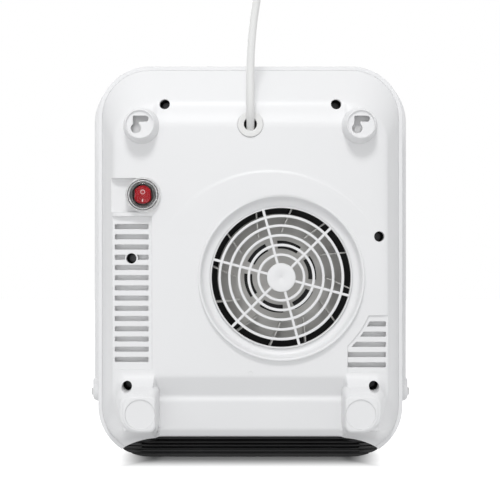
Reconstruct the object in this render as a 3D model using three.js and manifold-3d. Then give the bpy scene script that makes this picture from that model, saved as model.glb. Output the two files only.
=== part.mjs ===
// Bathroom wall fan heater. A centrifugal fan draws air through the guard in its back, drives
// it down through a heating frame and out of the louvred underside. A towel rail swings forward
// from its stowed place round the body.
//
// Everything is drawn in millimetres with x across, y up and z the depth from the wall into the
// room. The origin is the point on the wall midway between the two hanging screws.

import * as THREE from 'three';
import { mergeVertices } from 'three/addons/utils/BufferGeometryUtils.js';
import Module from 'manifold-3d';

const wasm = await Module();
wasm.setup();

// ---------------------------------------------------------------- driving dimensions

const SEAT = 0.3; // clearance between pieces that touch
const SKIN = 2.5; // moulded walls

// Body outline at its widest, and its depth
const BODY_HALF_WIDTH = 136.5;
const BODY_TOP = 52.3;
const BODY_BOTTOM = -298;
const BODY_CORNER = 46;
const FRONT_DEPTH = 130;
const FRONT_ROUNDING = 22;
const FRONT_WALL = 2.6;
const FRONT_STEP = 3.4; // the shell draws in behind its rim
const FRONT_DRAFT = 0.1;
const RIM_DEPTH = 50; // back edge of the front shell's rim
const RIM_OVERLAP = 8; // how far the rear cover goes into the rim
const RIM_WALL = 3.2;
const RIM_CLEARANCE = 0.4;

// Rear cover
const SHOULDER_DEPTH = 22; // where the sloping sides start to round over
const CROWN_DEPTH = 14; // where the rounding ends
const SIDE_SLOPE = 12.3; // how far each side draws in on its slope
const TOP_SLOPE = 29.7;
const BOTTOM_SLOPE = 17.1;
const BOTTOM_SHOULDER = 34;
const SHOULDER_ROUNDING = 12;
const PANEL_TOP = -3; // the main panel leans away from the wall from here down
const PANEL_TOP_DEPTH = 15;
const PANEL_FOOT = -226;
const PANEL_FOOT_DEPTH = 21;
const LEDGE_TOP = 7; // shallow ledge above the main panel
const LEDGE_DEPTH = 20;
const LEDGE_HALF_WIDTH = 78;
const TOE_DEPTH = 32; // recessed band between the wall pads
const TOE_TOP = -241;
const TOE_FOOT = -270;
const TOE_HALF_WIDTH = 79;

// Where the white shells end and the black outlet begins, seen from the back
const OUTLET_TOP = -277;
const OUTLET_FLAT = 75;
const OUTLET_BEND = 104;
const OUTLET_REACH = 128;
const OUTLET_END = -302;

// Hanging bosses and wall pads
const HANGER_X = 94.3;
const HANGER_Y = -4.9;
const HANGER_RADIUS = 12.5;
const HANGER_FLARE = 4;
const HANGER_RIM = 1;
const HANGER_RECESS = 1.4;
const KEYHOLE_PLATE = 2.2;
const KEYHOLE_POCKET = 8;
const POCKET_RADIUS = 10.4;
const KEYHOLE_SLOT = 5.1;
const KEYHOLE_ENTRY_RADIUS = 4.3;
const KEYHOLE_ENTRY_X = 3.3;
const KEYHOLE_ENTRY_Y = -3.5;
const KEYHOLE_TOP = 7.1;
const KEYHOLE_LEFT = 5.8; // outer edge of the upright leg
const KEYHOLE_RIGHT = -7.5; // blind end of the level leg
const PAD_X = 94;
const PAD_Y = -252.2;
const PAD_DISC_RADIUS = 12.7;
const PAD_DISC_DEPTH = 0.9;
const PAD_INNER = 81;
const PAD_OUTER = 109;
const PAD_TOP = -237;
const PAD_BOTTOM = -267;
const PAD_DEPTH = 24;
const PAD_SPREAD = 10.5;
const PAD_CORNER = 14;
const PAD_STEPS = 3;

// Screw wells, as x and y
const WELLS = [
  [74.5, 14.5],
  [-74.5, 14.5],
  [103.6, -119.5],
  [-111.8, -100.5],
  [106.6, -230],
  [-106.6, -230],
];
const WELL_RADIUS = 4.5;
const WELL_WALL = 1.2;
const WELL_DEPTH = 40;
const WELL_FLOOR = 2.2;
const SCREW_RADIUS = 1.9;
const SCREW_HEAD_RADIUS = 3.7;
const SCREW_HEAD = 2.3;
const SCREW_LENGTH = 17;
const POST_RADIUS = 4.6;

// Fan inlet and guard
const FAN_X = -26.9;
const FAN_Y = -136.2;
const INLET_RADIUS = 62.3;
const BOWL_RADIUS = 70.2;
const LIP_RADIUS = 72.5;
const LIP_DEPTH = 16.4;
const BOWL_DEPTH = 23.3;
const GUARD_RADIUS = 60.7;
const GUARD_FLANGE = 64.8;
const GUARD_BAR = 2.3;
const GUARD_THICKNESS = 2.4;
const GUARD_HUB = 12.6;
const GUARD_RINGS = 5;
const GUARD_RING_FIRST = 19.9;
const GUARD_RING_PITCH = 8.45;
const GUARD_SPOKES = 6;
const GUARD_ANGLE = 15;
const DOME_X = -17.3;
const DOME_Y = -145;
const DOME_RADIUS = 100;
const DOME_DEPTH = 14.9; // at its upper edge
const DOME_LEAN = 0.051;
const DOME_REACH = 53; // down from that edge, where it has sunk into the panel

// Vents
const VENT_LEFT = [BODY_HALF_WIDTH - 51, BODY_HALF_WIDTH - 15.5]; // from x to x
const VENT_LEFT_TOP = -83;
const VENT_LEFT_FOOT = -216;
const VENT_DEPTH = 21;
const VENT_LEFT_SLOTS = 14;
const VENT_LEFT_FIRST = -89.7;
const VENT_RIGHT_OUTER = -(BODY_HALF_WIDTH - 15.5);
const VENT_RIGHT_INNER = -84.6;
const VENT_RIGHT_TOP = -169;
const VENT_RIGHT_FOOT = -218.7;
const VENT_RIGHT_SLOTS = 5;
const VENT_RIGHT_FIRST = -174.4;
const VENT_SWEEP = 82.7; // radius about the fan of the right vent's inner edge
const SLOT_HEIGHT = 4.3;
const SLOT_PITCH = 8.89;
const SLOT_MARGIN = 3.1;
const BAFFLE_DEPTH = 31; // drip plates behind the slots
const BAFFLE_WALL = 1.8;

// Mains switch
const SWITCH_X = BODY_HALF_WIDTH - 43.7;
const SWITCH_Y = -64.5;
const SWITCH_BOSS = 15.3;
const SWITCH_DEPTH = 14.5;
const SWITCH_POCKET_DEPTH = 24;
const SWITCH_BODY = 10;
const SWITCH_BEZEL = 11.7;
const SWITCH_BEZEL_DEPTH = 2;
const SWITCH_LENGTH = 24;
const ROCKER_RADIUS = 8.7;
const ROCKER_HALF_WIDTH = 7.3;
const ROCKER_PIVOT_DEPTH = 14.5;
const ROCKER_TILT = 10; // either way from its middle
const BOOT_RADIUS = 14.8;
const BOOT_HEIGHT = 8.5;

// Cord outlet
const GLAND_X = 0;
const GLAND_Y = -3.4;
const GLAND_RADIUS = 11;
const GLAND_BORE = 5.6;
const GLAND_DEPTH = 14.5;
const GLAND_FLANGE = 1.5;
const GLAND_HOLE = 9.3;
const GLAND_SEAT = GLAND_DEPTH + GLAND_FLANGE + SEAT;
const GLAND_SEAT_END = 22;
const CLAMP_TOP = -25;
const CLAMP_FOOT = -30;
const CLAMP_SCREW_X = 9.5;
const CLAMP_SCREW = 1.5;
const TERMINAL_X = 44;
const TERMINAL_Y = -33;
const TERMINAL_DEPTH = 22;

// Mains lead
const CORD_DIAMETER = 6.8;
const CORD_DEPTH = 5.4; // where it lies along the wall
const CORD_ROUTE = [
  [0, -30, 25.1],
  [0, -24.8, 25.1],
  [0, -14.9, 23.1],
  [0, -6.4, 17.5],
  [0, -1.9, 13],
  [0, 6.6, 7.4],
  [0, 16.5, CORD_DEPTH],
  [0, 40, CORD_DEPTH],
  [-0.6, 60, CORD_DEPTH],
  [-2.5, 82, CORD_DEPTH],
  [-5.2, 101, CORD_DEPTH],
  [-8.8, 128.6, CORD_DEPTH],
  [-12.2, 154.5, CORD_DEPTH],
  [-12.59, 157.48, CORD_DEPTH],
];
const PASSAGE_POINTS = 6; // of them pass through the gland
const CORD_STEPS = 30;
const CORD_SIDES = 8;
const COIL_X = -62.3;
const COIL_Y = 158.1;
const COIL_START = 7.5; // where the lead runs into it, in degrees
const COIL_TURNS = 5.229;
const COIL_OUTER = 49.2;
const COIL_PITCH = 8;
const COIL_LOOP_STEPS = 24;
const COIL_SIDES = 6;
const TAIL_LENGTH = 12;
const TIE_ANGLE = 225;
const TIE_WALL = 1.2;
const TIE_WIDTH = 5;
const TIE_CLEARANCE = 0.6;
const PLUG_LENGTH = 40;
const PLUG_WIDTH = 35.5;
const PLUG_THICKNESS = 26;
const PLUG_PIN_RADIUS = 2.4;
const PLUG_PIN_LENGTH = 19;
const PLUG_PIN_PITCH = 19;
const PLUG_NECK = 18;
const NECK_RIBS = 3;
const PIN_ROOT = 8;

// Fan
const SCROLL_BACK = 28;
const SCROLL_WALL = 2;
const SCROLL_FRONT = 60;
const SCROLL_START = 74.5; // radius where the spiral begins
const SCROLL_END = 100; // radius where it runs into the throat
const SCROLL_FOOT = -222;
const SCROLL_FROM = 225; // angle at which the spiral begins, in degrees
const TONGUE_ANGLE = 290;
const TONGUE_OUTER_ANGLE = 268;
const THROAT_LEFT = -60;
const EAR_ANGLES = [30, 140];
const EAR_RADIUS = 5;
const EAR_HEIGHT = 3;
const IMPELLER_RADIUS = 66;
const IMPELLER_PLATE_RADIUS = 56.7;
const IMPELLER_BLADES = 12;
const IMPELLER_BACK = 31.5;
const IMPELLER_PLATE_DEPTH = 54;
const IMPELLER_PLATE = 2;
const BLADE_INNER = 40;
const BLADE_SWEEP = 9;
const BLADE_THICKNESS = 1.2;
const BLADE_ANGLE = 10;
const SLOT_INNER = 25.3; // arc slots in the impeller's plate
const SLOT_OUTER = 32.5;
const SLOT_ARC = 40;
const SLOT_STEPS = 5;
const IMPELLER_HUB = 9;
const SHAFT_RADIUS = 2.5;
const MOTOR_RADIUS = 28;
const MOTOR_LENGTH = 36;
const MOTOR_SCREW_CIRCLE = 22;
const MOTOR_SCREW_RADIUS = 1.5;

// Heating frame
const FRAME_LEFT = -84;
const FRAME_RIGHT = 76;
const FRAME_FOOT = -262;
const FRAME_DEPTH = 30;
const FRAME_WALL = 2;
const ELEMENT_DEPTH = 11;
const FIN_COUNT = 16;

// Outlet grille
const GRILLE_WALL = 3;
const LOUVRE_PITCH = 3.6;
const LOUVRE_WALL = 1.7;
const LOUVRE_HEIGHT = 9;
const LOUVRE_COUNT = 4;
const FLOOR_LOUVRES = 8;
const FLOOR_PITCH = 8;
const GRILLE_RIBS = 3;
const RIB_PITCH = 45;
const OUTLET_OPENING = 84;

// Towel rail
const RAIL_X = BODY_HALF_WIDTH + 5.4;
const RAIL_TOP = BODY_TOP - 0.3;
const RAIL_DEPTH = 90;
const RAIL_RADIUS = 3.5;
const RAIL_BEND = 46;
const RAIL_PIVOT_Y = -244;
const RAIL_FOOT = -236;
const KNUCKLE_INNER = BODY_HALF_WIDTH + 0.4;
const KNUCKLE_WIDTH = 9.6;
const KNUCKLE_OUTER = KNUCKLE_INNER + KNUCKLE_WIDTH;
const KNUCKLE_RADIUS = 9;
const PIN_RADIUS = 2;
const PIN_HEAD_RADIUS = 3.6;
const SOCKET_DEPTH = 5;
const PIVOT_INNER = BODY_HALF_WIDTH - 14.5;
const PIVOT_BOSS_RADIUS = 6;

// Controls on the front
const KNOB_X = 58;
const KNOB_Y = -34;
const KNOB_RADIUS = 19;
const KNOB_SKIRT = 6;
const KNOB_HEIGHT = 17;
const SPINDLE_RADIUS = 3;
const SPINDLE_REACH = 10;
const CONTROL_RADIUS = 15;
const CONTROL_LENGTH = 20;
const LENS_RADIUS = 3.2;

// Faceting
const FINE = 28;
const ROUND = 12;
const SMALL = 8;
const CORNER_STEPS = 4;
const BACK_STEPS = 4;
const ROUNDING_STEPS = 4;
const SCROLL_STEPS = 15;
const TONGUE_STEPS = 4;
const BLADE_STEPS = 3;
const RAIL_STEPS = 8;

// ---------------------------------------------------------------- finishes

const finish = (color, roughness, metalness = 0) => () =>
  new THREE.MeshStandardMaterial({ color, roughness, metalness });
const whitePlastic = finish(0xeeeef0, 0.45);
const blackPlastic = finish(0x1d1c1e, 0.5);
const greyPlastic = finish(0x4a4a48, 0.5);
const fanPlastic = finish(0xa9a79e, 0.4);
const redPlastic = finish(0xb01018, 0.3);
const clearRubber = finish(0xd8d8d0, 0.2);
const cordPlastic = finish(0xe2e0dc, 0.5);
const satinSteel = finish(0xb9bbbd, 0.3, 0.9);
const zincSteel = finish(0x8f9194, 0.4, 0.9);
const ceramic = finish(0x77716a, 0.8);
const mica = finish(0xc9bd9b, 0.7);

// ---------------------------------------------------------------- solid modelling helpers

const QUARTER = Math.PI / 2;
const TURN = 2 * Math.PI;
const radians = (angle) => (angle * Math.PI) / 180;
const span = (count) => Array.from({ length: count }, (_, i) => i);
const V = (x, y, z) => new THREE.Vector3(x, y, z);

// A closed triangle mesh as a solid, with its faces turned out
function solid(geometry) {
  const bare = geometry.clone();
  bare.deleteAttribute('normal');
  bare.deleteAttribute('uv');
  const merged = mergeVertices(bare, 1e-4);
  const at = merged.attributes.position.array;
  const faces = [];
  let volume = 0;
  for (let i = 0; i < merged.index.count; i += 3) {
    const [a, b, c] = [0, 1, 2].map((k) => merged.index.getX(i + k));
    if (a === b || b === c || c === a) continue;
    faces.push(a, b, c);
    const [p, q, r] = [a, b, c].map((k) => V(at[3 * k], at[3 * k + 1], at[3 * k + 2]));
    volume += p.dot(q.cross(r));
  }
  if (volume < 0) faces.reverse();
  return new wasm.Manifold(
    new wasm.Mesh({
      numProp: 3,
      vertProperties: new Float32Array(at),
      triVerts: new Uint32Array(faces),
    }),
  );
}

const union = (...solids) => solids.flat().reduce((whole, piece) => whole.add(piece));

// A skin over rings with the same number of points, closed at both ends
function skin(rings) {
  const count = rings[0].length;
  const last = (rings.length - 1) * count;
  const index = [];
  for (let i = 0; i + 1 < rings.length; i += 1) {
    for (let j = 0; j < count; j += 1) {
      const a = i * count + j;
      const b = i * count + ((j + 1) % count);
      index.push(a, b, b + count, a, b + count, a + count);
    }
  }
  for (let j = 1; j + 1 < count; j += 1) index.push(0, j + 1, j, last, last + j, last + j + 1);
  const geometry = new THREE.BufferGeometry();
  const points = rings.flat().flatMap((p) => [p.x, p.y, p.z]);
  geometry.setAttribute('position', new THREE.Float32BufferAttribute(points, 3));
  geometry.setIndex(index);
  return geometry;
}

// A rectangle with its own radius at each corner, from the upper right one round
function roundedRing(left, right, bottom, top, radii, steps = CORNER_STEPS) {
  const corners = [
    [right, top, -1, -1],
    [left, top, 1, -1],
    [left, bottom, 1, 1],
    [right, bottom, -1, 1],
  ];
  return corners.flatMap(([x, y, inX, inY], k) =>
    span(steps + 1).map((i) => {
      const angle = QUARTER * (k + i / steps);
      const r = radii[k];
      return [x + inX * r + r * Math.cos(angle), y + inY * r + r * Math.sin(angle)];
    }),
  );
}

// A loft through rings, each [depth, ring]
const loft = (sections) =>
  solid(skin(sections.map(([depth, ring]) => ring.map(([x, y]) => V(x, y, depth)))));

const block = (x0, x1, y0, y1, z0, z1) =>
  solid(
    new THREE.BoxGeometry(x1 - x0, y1 - y0, z1 - z0).translate(
      (x0 + x1) / 2,
      (y0 + y1) / 2,
      (z0 + z1) / 2,
    ),
  );

// A round bar or cone along the depth
const bar = (x, y, z0, z1, r0, sides = ROUND, r1 = r0) =>
  solid(
    new THREE.CylinderGeometry(r1, r0, z1 - z0, sides)
      .rotateX(QUARTER)
      .translate(x, y, (z0 + z1) / 2),
  );

// A round bar across the object
const crossBar = (x0, x1, y, z, r, sides = SMALL) =>
  solid(
    new THREE.CylinderGeometry(r, r, x1 - x0, sides).rotateZ(QUARTER).translate((x0 + x1) / 2, y, z),
  );

// A profile of [radius, depth] points turned about a line along the depth
const turned = (x, y, profile, sides = FINE) =>
  solid(
    new THREE.LatheGeometry(
      profile.map(([r, z]) => new THREE.Vector2(r, z)),
      sides,
    )
      .rotateX(QUARTER)
      .translate(x, y, 0),
  );

// An outline drawn on the back, pushed from one depth to another
function prism(shape, z0, z1, steps = SMALL) {
  const settings = { depth: z1 - z0, bevelEnabled: false, curveSegments: steps };
  return solid(new THREE.ExtrudeGeometry(shape, settings).translate(0, 0, z0));
}

const polygon = (points) => new THREE.Shape(points.map(([x, y]) => new THREE.Vector2(x, y)));

// A side view outline of [y, depth] points, run across from one x to another
function sideProfile(points, x0, x1) {
  const across = new THREE.ExtrudeGeometry(polygon(points), { depth: x1 - x0, bevelEnabled: false });
  across.applyMatrix4(new THREE.Matrix4().makeBasis(V(0, 1, 0), V(0, 0, 1), V(1, 0, 0)));
  return solid(across.translate(x0, 0, 0));
}

// The main body of a solid, without the loose flakes that a slanting cut can leave
const mainBody = (piece) =>
  piece.decompose().reduce((most, next) => (next.volume() > most.volume() ? next : most));

const mirrored = (piece) => piece.mirror([1, 0, 0]);
const bothSides = (piece) => union(piece, mirrored(piece));

// ---------------------------------------------------------------- pieces are collected here

const heater = new THREE.Group();
heater.rotation.x = QUARTER; // the drawing's depth runs into the room, along -Y

function place(name, piece, material, group = heater) {
  const { numProp, vertProperties, triVerts } = piece.getMesh();
  const points = [];
  for (let i = 0; i < vertProperties.length; i += numProp) {
    points.push(vertProperties[i], vertProperties[i + 1], vertProperties[i + 2]);
  }
  const geometry = new THREE.BufferGeometry();
  geometry.setAttribute('position', new THREE.Float32BufferAttribute(points, 3));
  geometry.setIndex([...triVerts]);
  geometry.computeVertexNormals();
  const mesh = new THREE.Mesh(geometry, material());
  mesh.name = name;
  group.add(mesh);
  return mesh;
}

// ---------------------------------------------------------------- body forms

// How far a side has drawn in at a depth: its slope, then a rounding towards the panel
function drawIn(depth, slope, shoulder) {
  const rate = slope / (RIM_DEPTH - shoulder);
  const turn = Math.max(0, SHOULDER_DEPTH - depth) / (SHOULDER_DEPTH - CROWN_DEPTH);
  return rate * (RIM_DEPTH - depth) + SHOULDER_ROUNDING * turn ** 3;
}

const RIM_INSET = RIM_WALL + RIM_CLEARANCE;
const RIM_END = RIM_DEPTH + RIM_OVERLAP;

// The dished back of the body, up to the rim that goes into the front shell
function backForm(inwards = 0, deeper = 0) {
  const rounding = span(BACK_STEPS + 1).map(
    (i) => CROWN_DEPTH + (SHOULDER_DEPTH - CROWN_DEPTH) * (i / BACK_STEPS) ** 1.6,
  );
  const ringAt = (depth) => {
    const at = Math.min(depth, RIM_DEPTH);
    const side = drawIn(at, SIDE_SLOPE, SHOULDER_DEPTH);
    const top = drawIn(at, TOP_SLOPE, SHOULDER_DEPTH);
    const below = Math.max(0, BOTTOM_SHOULDER - at);
    const foot = BOTTOM_SLOPE * Math.min(1, (RIM_DEPTH - at) / (RIM_DEPTH - BOTTOM_SHOULDER));
    const half = BODY_HALF_WIDTH - RIM_INSET - side - inwards;
    const radius = Math.max(BODY_CORNER - RIM_INSET - 0.45 * side - inwards, 8);
    const bottom = BODY_BOTTOM + RIM_INSET + foot + 0.5 * below + inwards;
    const upper = BODY_TOP - RIM_INSET - top - inwards;
    return roundedRing(-half, half, bottom, upper, Array(4).fill(radius));
  };
  const depths = [...rounding, BOTTOM_SHOULDER, RIM_DEPTH, RIM_END];
  return loft(depths.map((depth) => [depth + deeper, ringAt(depth)]));
}

// How far the front shell has drawn in: a flat rim, a step, a light draft, a rounded edge
const FRONT_TURN = FRONT_DEPTH - FRONT_ROUNDING;
const ROUNDING_REACH = 0.93 * FRONT_ROUNDING;
const STEP_START = RIM_END + 2;
const STEP_END = STEP_START + 6;

function frontInset(depth) {
  if (depth <= STEP_START) return 0;
  if (depth < STEP_END) return FRONT_STEP / 2;
  const turn = Math.max(0, depth - FRONT_TURN) / FRONT_ROUNDING;
  const draft = FRONT_DRAFT * (Math.min(depth, FRONT_TURN) - STEP_END);
  return FRONT_STEP + draft + ROUNDING_REACH * (1 - Math.sqrt(1 - turn ** 2));
}

function frontForm(depths, inwards = 0, least = 0) {
  return loft(
    depths.map((depth) => {
      const drawn = Math.max(frontInset(depth), least);
      const inset = drawn + inwards;
      const half = BODY_HALF_WIDTH - inset;
      const radius = Math.max(BODY_CORNER - 0.6 * drawn - inwards, 6);
      const turn = Math.max(0, depth - FRONT_TURN) / FRONT_ROUNDING;
      const ring = roundedRing(-half, half, BODY_BOTTOM + inset, BODY_TOP - inset, Array(4).fill(radius));
      return [depth - inwards * turn, ring];
    }),
  );
}

const FRONT_CURVE = span(ROUNDING_STEPS + 1).map(
  (i) => FRONT_TURN + FRONT_ROUNDING * Math.sin((QUARTER * i) / ROUNDING_STEPS),
);
const FRONT_DEPTHS = [RIM_DEPTH, STEP_START, STEP_START + 3, STEP_END, RAIL_DEPTH, ...FRONT_CURVE];

// Everything below the line where the white shells end
const FAR_X = BODY_HALF_WIDTH + 20;
const FAR_UP = BODY_TOP + 20;
const FAR_DOWN = BODY_BOTTOM - 20;

function belowOutletLine(clearance = 0) {
  const shape = new THREE.Shape();
  const end = OUTLET_END - clearance;
  const top = OUTLET_TOP - clearance;
  shape.moveTo(-FAR_X, FAR_DOWN);
  shape.lineTo(FAR_X, FAR_DOWN);
  shape.lineTo(OUTLET_REACH, end);
  shape.quadraticCurveTo(OUTLET_BEND, top, OUTLET_FLAT, top);
  shape.lineTo(-OUTLET_FLAT, top);
  shape.quadraticCurveTo(-OUTLET_BEND, top, -OUTLET_REACH, end);
  return prism(shape, -10, FRONT_DEPTH + 10, CORNER_STEPS);
}

// ---------------------------------------------------------------- scroll round the impeller

// The spiral starts low on one side of the fan, climbs over its top and ends at its other side
function scrollRadius(angle) {
  const along = Math.min(1, Math.max(0, (SCROLL_FROM - angle) / SCROLL_FROM));
  return SCROLL_START + (SCROLL_END - SCROLL_START) * along;
}

const polar = (radius, angle) => [
  FAN_X + radius * Math.cos(radians(angle)),
  FAN_Y + radius * Math.sin(radians(angle)),
];

const spiral = (grown) =>
  span(SCROLL_STEPS + 1).map((i) => {
    const angle = SCROLL_FROM * (1 - i / SCROLL_STEPS);
    return polar(scrollRadius(angle) + grown, angle);
  });

const tongue = (radius, from) =>
  span(TONGUE_STEPS).map((i) => polar(radius, from + ((SCROLL_FROM - from) * i) / TONGUE_STEPS));

// The line of the throat's sloping wall, from its foot up to the tongue's tip
const TIP = polar(SCROLL_START, TONGUE_ANGLE);
const THROAT_SLOPE = (TIP[1] - SCROLL_FOOT) / (TIP[0] - THROAT_LEFT);

const chamber = () =>
  polygon([
    ...spiral(0),
    [FAN_X + SCROLL_END, SCROLL_FOOT - 5],
    [THROAT_LEFT - 5 / THROAT_SLOPE, SCROLL_FOOT - 5],
    ...tongue(SCROLL_START, TONGUE_ANGLE),
  ]);

const casing = () =>
  polygon([
    ...spiral(SCROLL_WALL),
    [FAN_X + SCROLL_END + SCROLL_WALL, SCROLL_FOOT],
    [THROAT_LEFT - SCROLL_WALL / THROAT_SLOPE, SCROLL_FOOT],
    ...tongue(SCROLL_START + SCROLL_WALL, TONGUE_OUTER_ANGLE),
  ]);

const scrollEars = [
  ...EAR_ANGLES.map((angle) => polar(scrollRadius(angle) + SCROLL_WALL + 4, angle)),
  [THROAT_LEFT - 2, SCROLL_FOOT + 5.5],
];

function scrollPieces() {
  const ears = scrollEars.map(([x, y]) => bar(x, y, SCROLL_BACK, SCROLL_BACK + EAR_HEIGHT, EAR_RADIUS));
  const earHoles = scrollEars.map(([x, y]) =>
    bar(x, y, SCROLL_BACK - 5, SCROLL_BACK + 20, SCREW_RADIUS + SEAT, SMALL),
  );
  const plateEnd = SCROLL_BACK + SCROLL_WALL;
  const body = union(
    prism(casing(), plateEnd + SEAT, SCROLL_FRONT + SCROLL_WALL),
    ears.map((ear) => ear.translate([0, 0, SCROLL_WALL + SEAT])),
  );
  const motorHoles = motorScrews.map(([x, y]) =>
    bar(x, y, SCROLL_FRONT - 5, SCROLL_FRONT + 10, MOTOR_SCREW_RADIUS + SEAT, SMALL),
  );
  const housing = body
    .subtract(prism(chamber(), plateEnd - 5, SCROLL_FRONT))
    .subtract(bar(FAN_X, FAN_Y, SCROLL_FRONT - 5, SCROLL_FRONT + 10, SHAFT_RADIUS + 4))
    .subtract(union(earHoles, motorHoles));
  const plateEars = ears.map((ear) => ear.trimByPlane([0, 0, -1], -plateEnd));
  const plate = union(prism(casing(), SCROLL_BACK, plateEnd), plateEars)
    .subtract(bar(FAN_X, FAN_Y, SCROLL_BACK - 5, plateEnd + 5, INLET_RADIUS + 0.7, FINE))
    .subtract(union(earHoles));
  return { housing, plate };
}

// ---------------------------------------------------------------- rear cover

const PANEL_LEAN = (PANEL_FOOT_DEPTH - PANEL_TOP_DEPTH) / (PANEL_TOP - PANEL_FOOT);
const panelDepth = (y) => PANEL_TOP_DEPTH + (PANEL_TOP - y) * PANEL_LEAN;

// What lies behind the leaning panel, the ledge above it and the toe band below it
function behindPanel(deeper = 0) {
  const panel = [
    [FAR_UP, -10],
    [FAR_UP, panelDepth(FAR_UP) + deeper],
    [FAR_DOWN, panelDepth(FAR_DOWN) + deeper],
    [FAR_DOWN, -10],
  ];
  const ledge = [
    [LEDGE_TOP + 30, -10],
    [LEDGE_TOP + 10, LEDGE_DEPTH + deeper],
    [LEDGE_TOP, LEDGE_DEPTH + deeper],
    [PANEL_TOP, PANEL_TOP_DEPTH + deeper],
    [PANEL_TOP, -10],
  ];
  const toe = [
    [PANEL_FOOT, -10],
    [PANEL_FOOT, PANEL_FOOT_DEPTH + deeper],
    [TOE_TOP, TOE_DEPTH + deeper],
    [TOE_FOOT, TOE_DEPTH + deeper],
    [OUTLET_TOP, BOTTOM_SHOULDER + 2 + deeper],
    [FAR_DOWN, BOTTOM_SHOULDER + 20 + deeper],
    [FAR_DOWN, -10],
  ];
  const ledgeReach = LEDGE_HALF_WIDTH + deeper;
  const toeReach = TOE_HALF_WIDTH + deeper;
  return union(
    sideProfile(panel, -FAR_X, FAR_X),
    sideProfile(ledge, -ledgeReach, ledgeReach),
    sideProfile(toe, -toeReach, toeReach),
  );
}

// A wall pad: the lower corner of the panel brought out to the wall on a spreading foot
function wallPad() {
  return loft(
    span(PAD_STEPS + 1).map((i) => {
      const along = i / PAD_STEPS;
      const spread = PAD_SPREAD * along ** 0.6;
      const depth = PAD_DEPTH * along;
      const corners = [8 + 7 * along, 6, 6, PAD_CORNER + depth];
      const left = PAD_INNER - 2 * along;
      const bottom = PAD_BOTTOM - 0.37 * spread;
      return [depth, roundedRing(left, PAD_OUTER + spread, bottom, PAD_TOP + spread, corners, 3)];
    }),
  );
}

// The hollow inside a wall pad
function padPocket() {
  const wall = SKIN + 0.5;
  const corners = [8 - wall, 6 - wall, 6 - wall, PAD_CORNER - wall];
  const ring = roundedRing(PAD_INNER + wall, PAD_OUTER - wall, PAD_BOTTOM + wall, PAD_TOP - wall, corners, 3);
  return loft([SKIN, PAD_DEPTH + 3].map((depth) => [depth, ring]));
}

// The keyhole in a hanging boss: an entry, and a slot that goes up and then across
function keyhole(x) {
  const left = x + KEYHOLE_LEFT;
  const end = x + KEYHOLE_RIGHT + KEYHOLE_SLOT / 2;
  const top = HANGER_Y + KEYHOLE_TOP;
  const entry = [x + KEYHOLE_ENTRY_X, HANGER_Y + KEYHOLE_ENTRY_Y];
  const to = HANGER_RECESS + KEYHOLE_PLATE + 1;
  return union(
    block(left - KEYHOLE_SLOT, left, entry[1], top, -1, to),
    block(end, left, top - KEYHOLE_SLOT, top, -1, to),
    bar(end, top - KEYHOLE_SLOT / 2, -1, to, KEYHOLE_SLOT / 2),
    bar(...entry, -1, to, KEYHOLE_ENTRY_RADIUS),
  );
}

// The shallow dome round the upper part of the fan's inlet
function domeForm() {
  const edge = DOME_Y + DOME_RADIUS;
  const disc = bar(DOME_X, DOME_Y, 10, 24, DOME_RADIUS - 6, FINE, DOME_RADIUS + 12);
  const foot = edge - DOME_REACH;
  const high = edge + 40;
  const behind = [
    [high, -10],
    [high, DOME_DEPTH - (high - edge) * DOME_LEAN],
    [foot, DOME_DEPTH + DOME_REACH * DOME_LEAN],
    [foot, 30],
    [FAR_DOWN, 30],
    [FAR_DOWN, -10],
  ];
  return disc.subtract(sideProfile(behind, -FAR_X, FAR_X));
}

// The inlet's raised lip, its hollow and the groove that the guard sits in
const inletRing = () =>
  turned(FAN_X, FAN_Y, [
    [LIP_RADIUS, LIP_DEPTH + 8.4],
    [LIP_RADIUS, LIP_DEPTH + 0.7],
    [LIP_RADIUS - 0.9, LIP_DEPTH],
    [BOWL_RADIUS + 0.3, LIP_DEPTH + 0.3],
    [BOWL_RADIUS - 1, LIP_DEPTH + 3.6],
    [BOWL_RADIUS - 4.4, LIP_DEPTH + 6.2],
    [INLET_RADIUS, BOWL_DEPTH],
    [INLET_RADIUS, BOWL_DEPTH + 1.7],
    [GUARD_FLANGE + SEAT, BOWL_DEPTH + 1.7],
    [GUARD_FLANGE + SEAT, SCROLL_BACK - SEAT],
    [GUARD_FLANGE + 2.8, SCROLL_BACK - SEAT],
    [GUARD_FLANGE + 2.8, BOWL_DEPTH + 3],
    [LIP_RADIUS, LIP_DEPTH + 8.4],
  ]);

// The right vent's panel, cut back in an arc that follows the fan
function rightVent(from, to) {
  const rise = VENT_RIGHT_TOP - FAN_Y;
  const across = VENT_RIGHT_INNER - FAN_X;
  const upper = Math.atan2(rise, -Math.sqrt(VENT_SWEEP ** 2 - rise ** 2));
  const lower = Math.atan2(-Math.sqrt(VENT_SWEEP ** 2 - across ** 2), across);
  const shape = new THREE.Shape();
  shape.moveTo(VENT_RIGHT_OUTER, VENT_RIGHT_FOOT);
  shape.lineTo(VENT_RIGHT_OUTER, VENT_RIGHT_TOP);
  shape.absarc(FAN_X, FAN_Y, VENT_SWEEP, upper, lower, false);
  shape.lineTo(VENT_RIGHT_INNER, VENT_RIGHT_FOOT);
  return prism(shape, from, to);
}

const leftVent = (grown, from, to) =>
  block(
    VENT_LEFT[0] - grown,
    VENT_LEFT[1] + grown,
    VENT_LEFT_FOOT - grown,
    VENT_LEFT_TOP + grown,
    from,
    to,
  );

const slots = (count, first, x0, x1) =>
  union(
    span(count).map((i) => {
      const top = first - i * SLOT_PITCH;
      return block(x0, x1, top - SLOT_HEIGHT, top, -5, VENT_DEPTH + SKIN + 2);
    }),
  );

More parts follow.
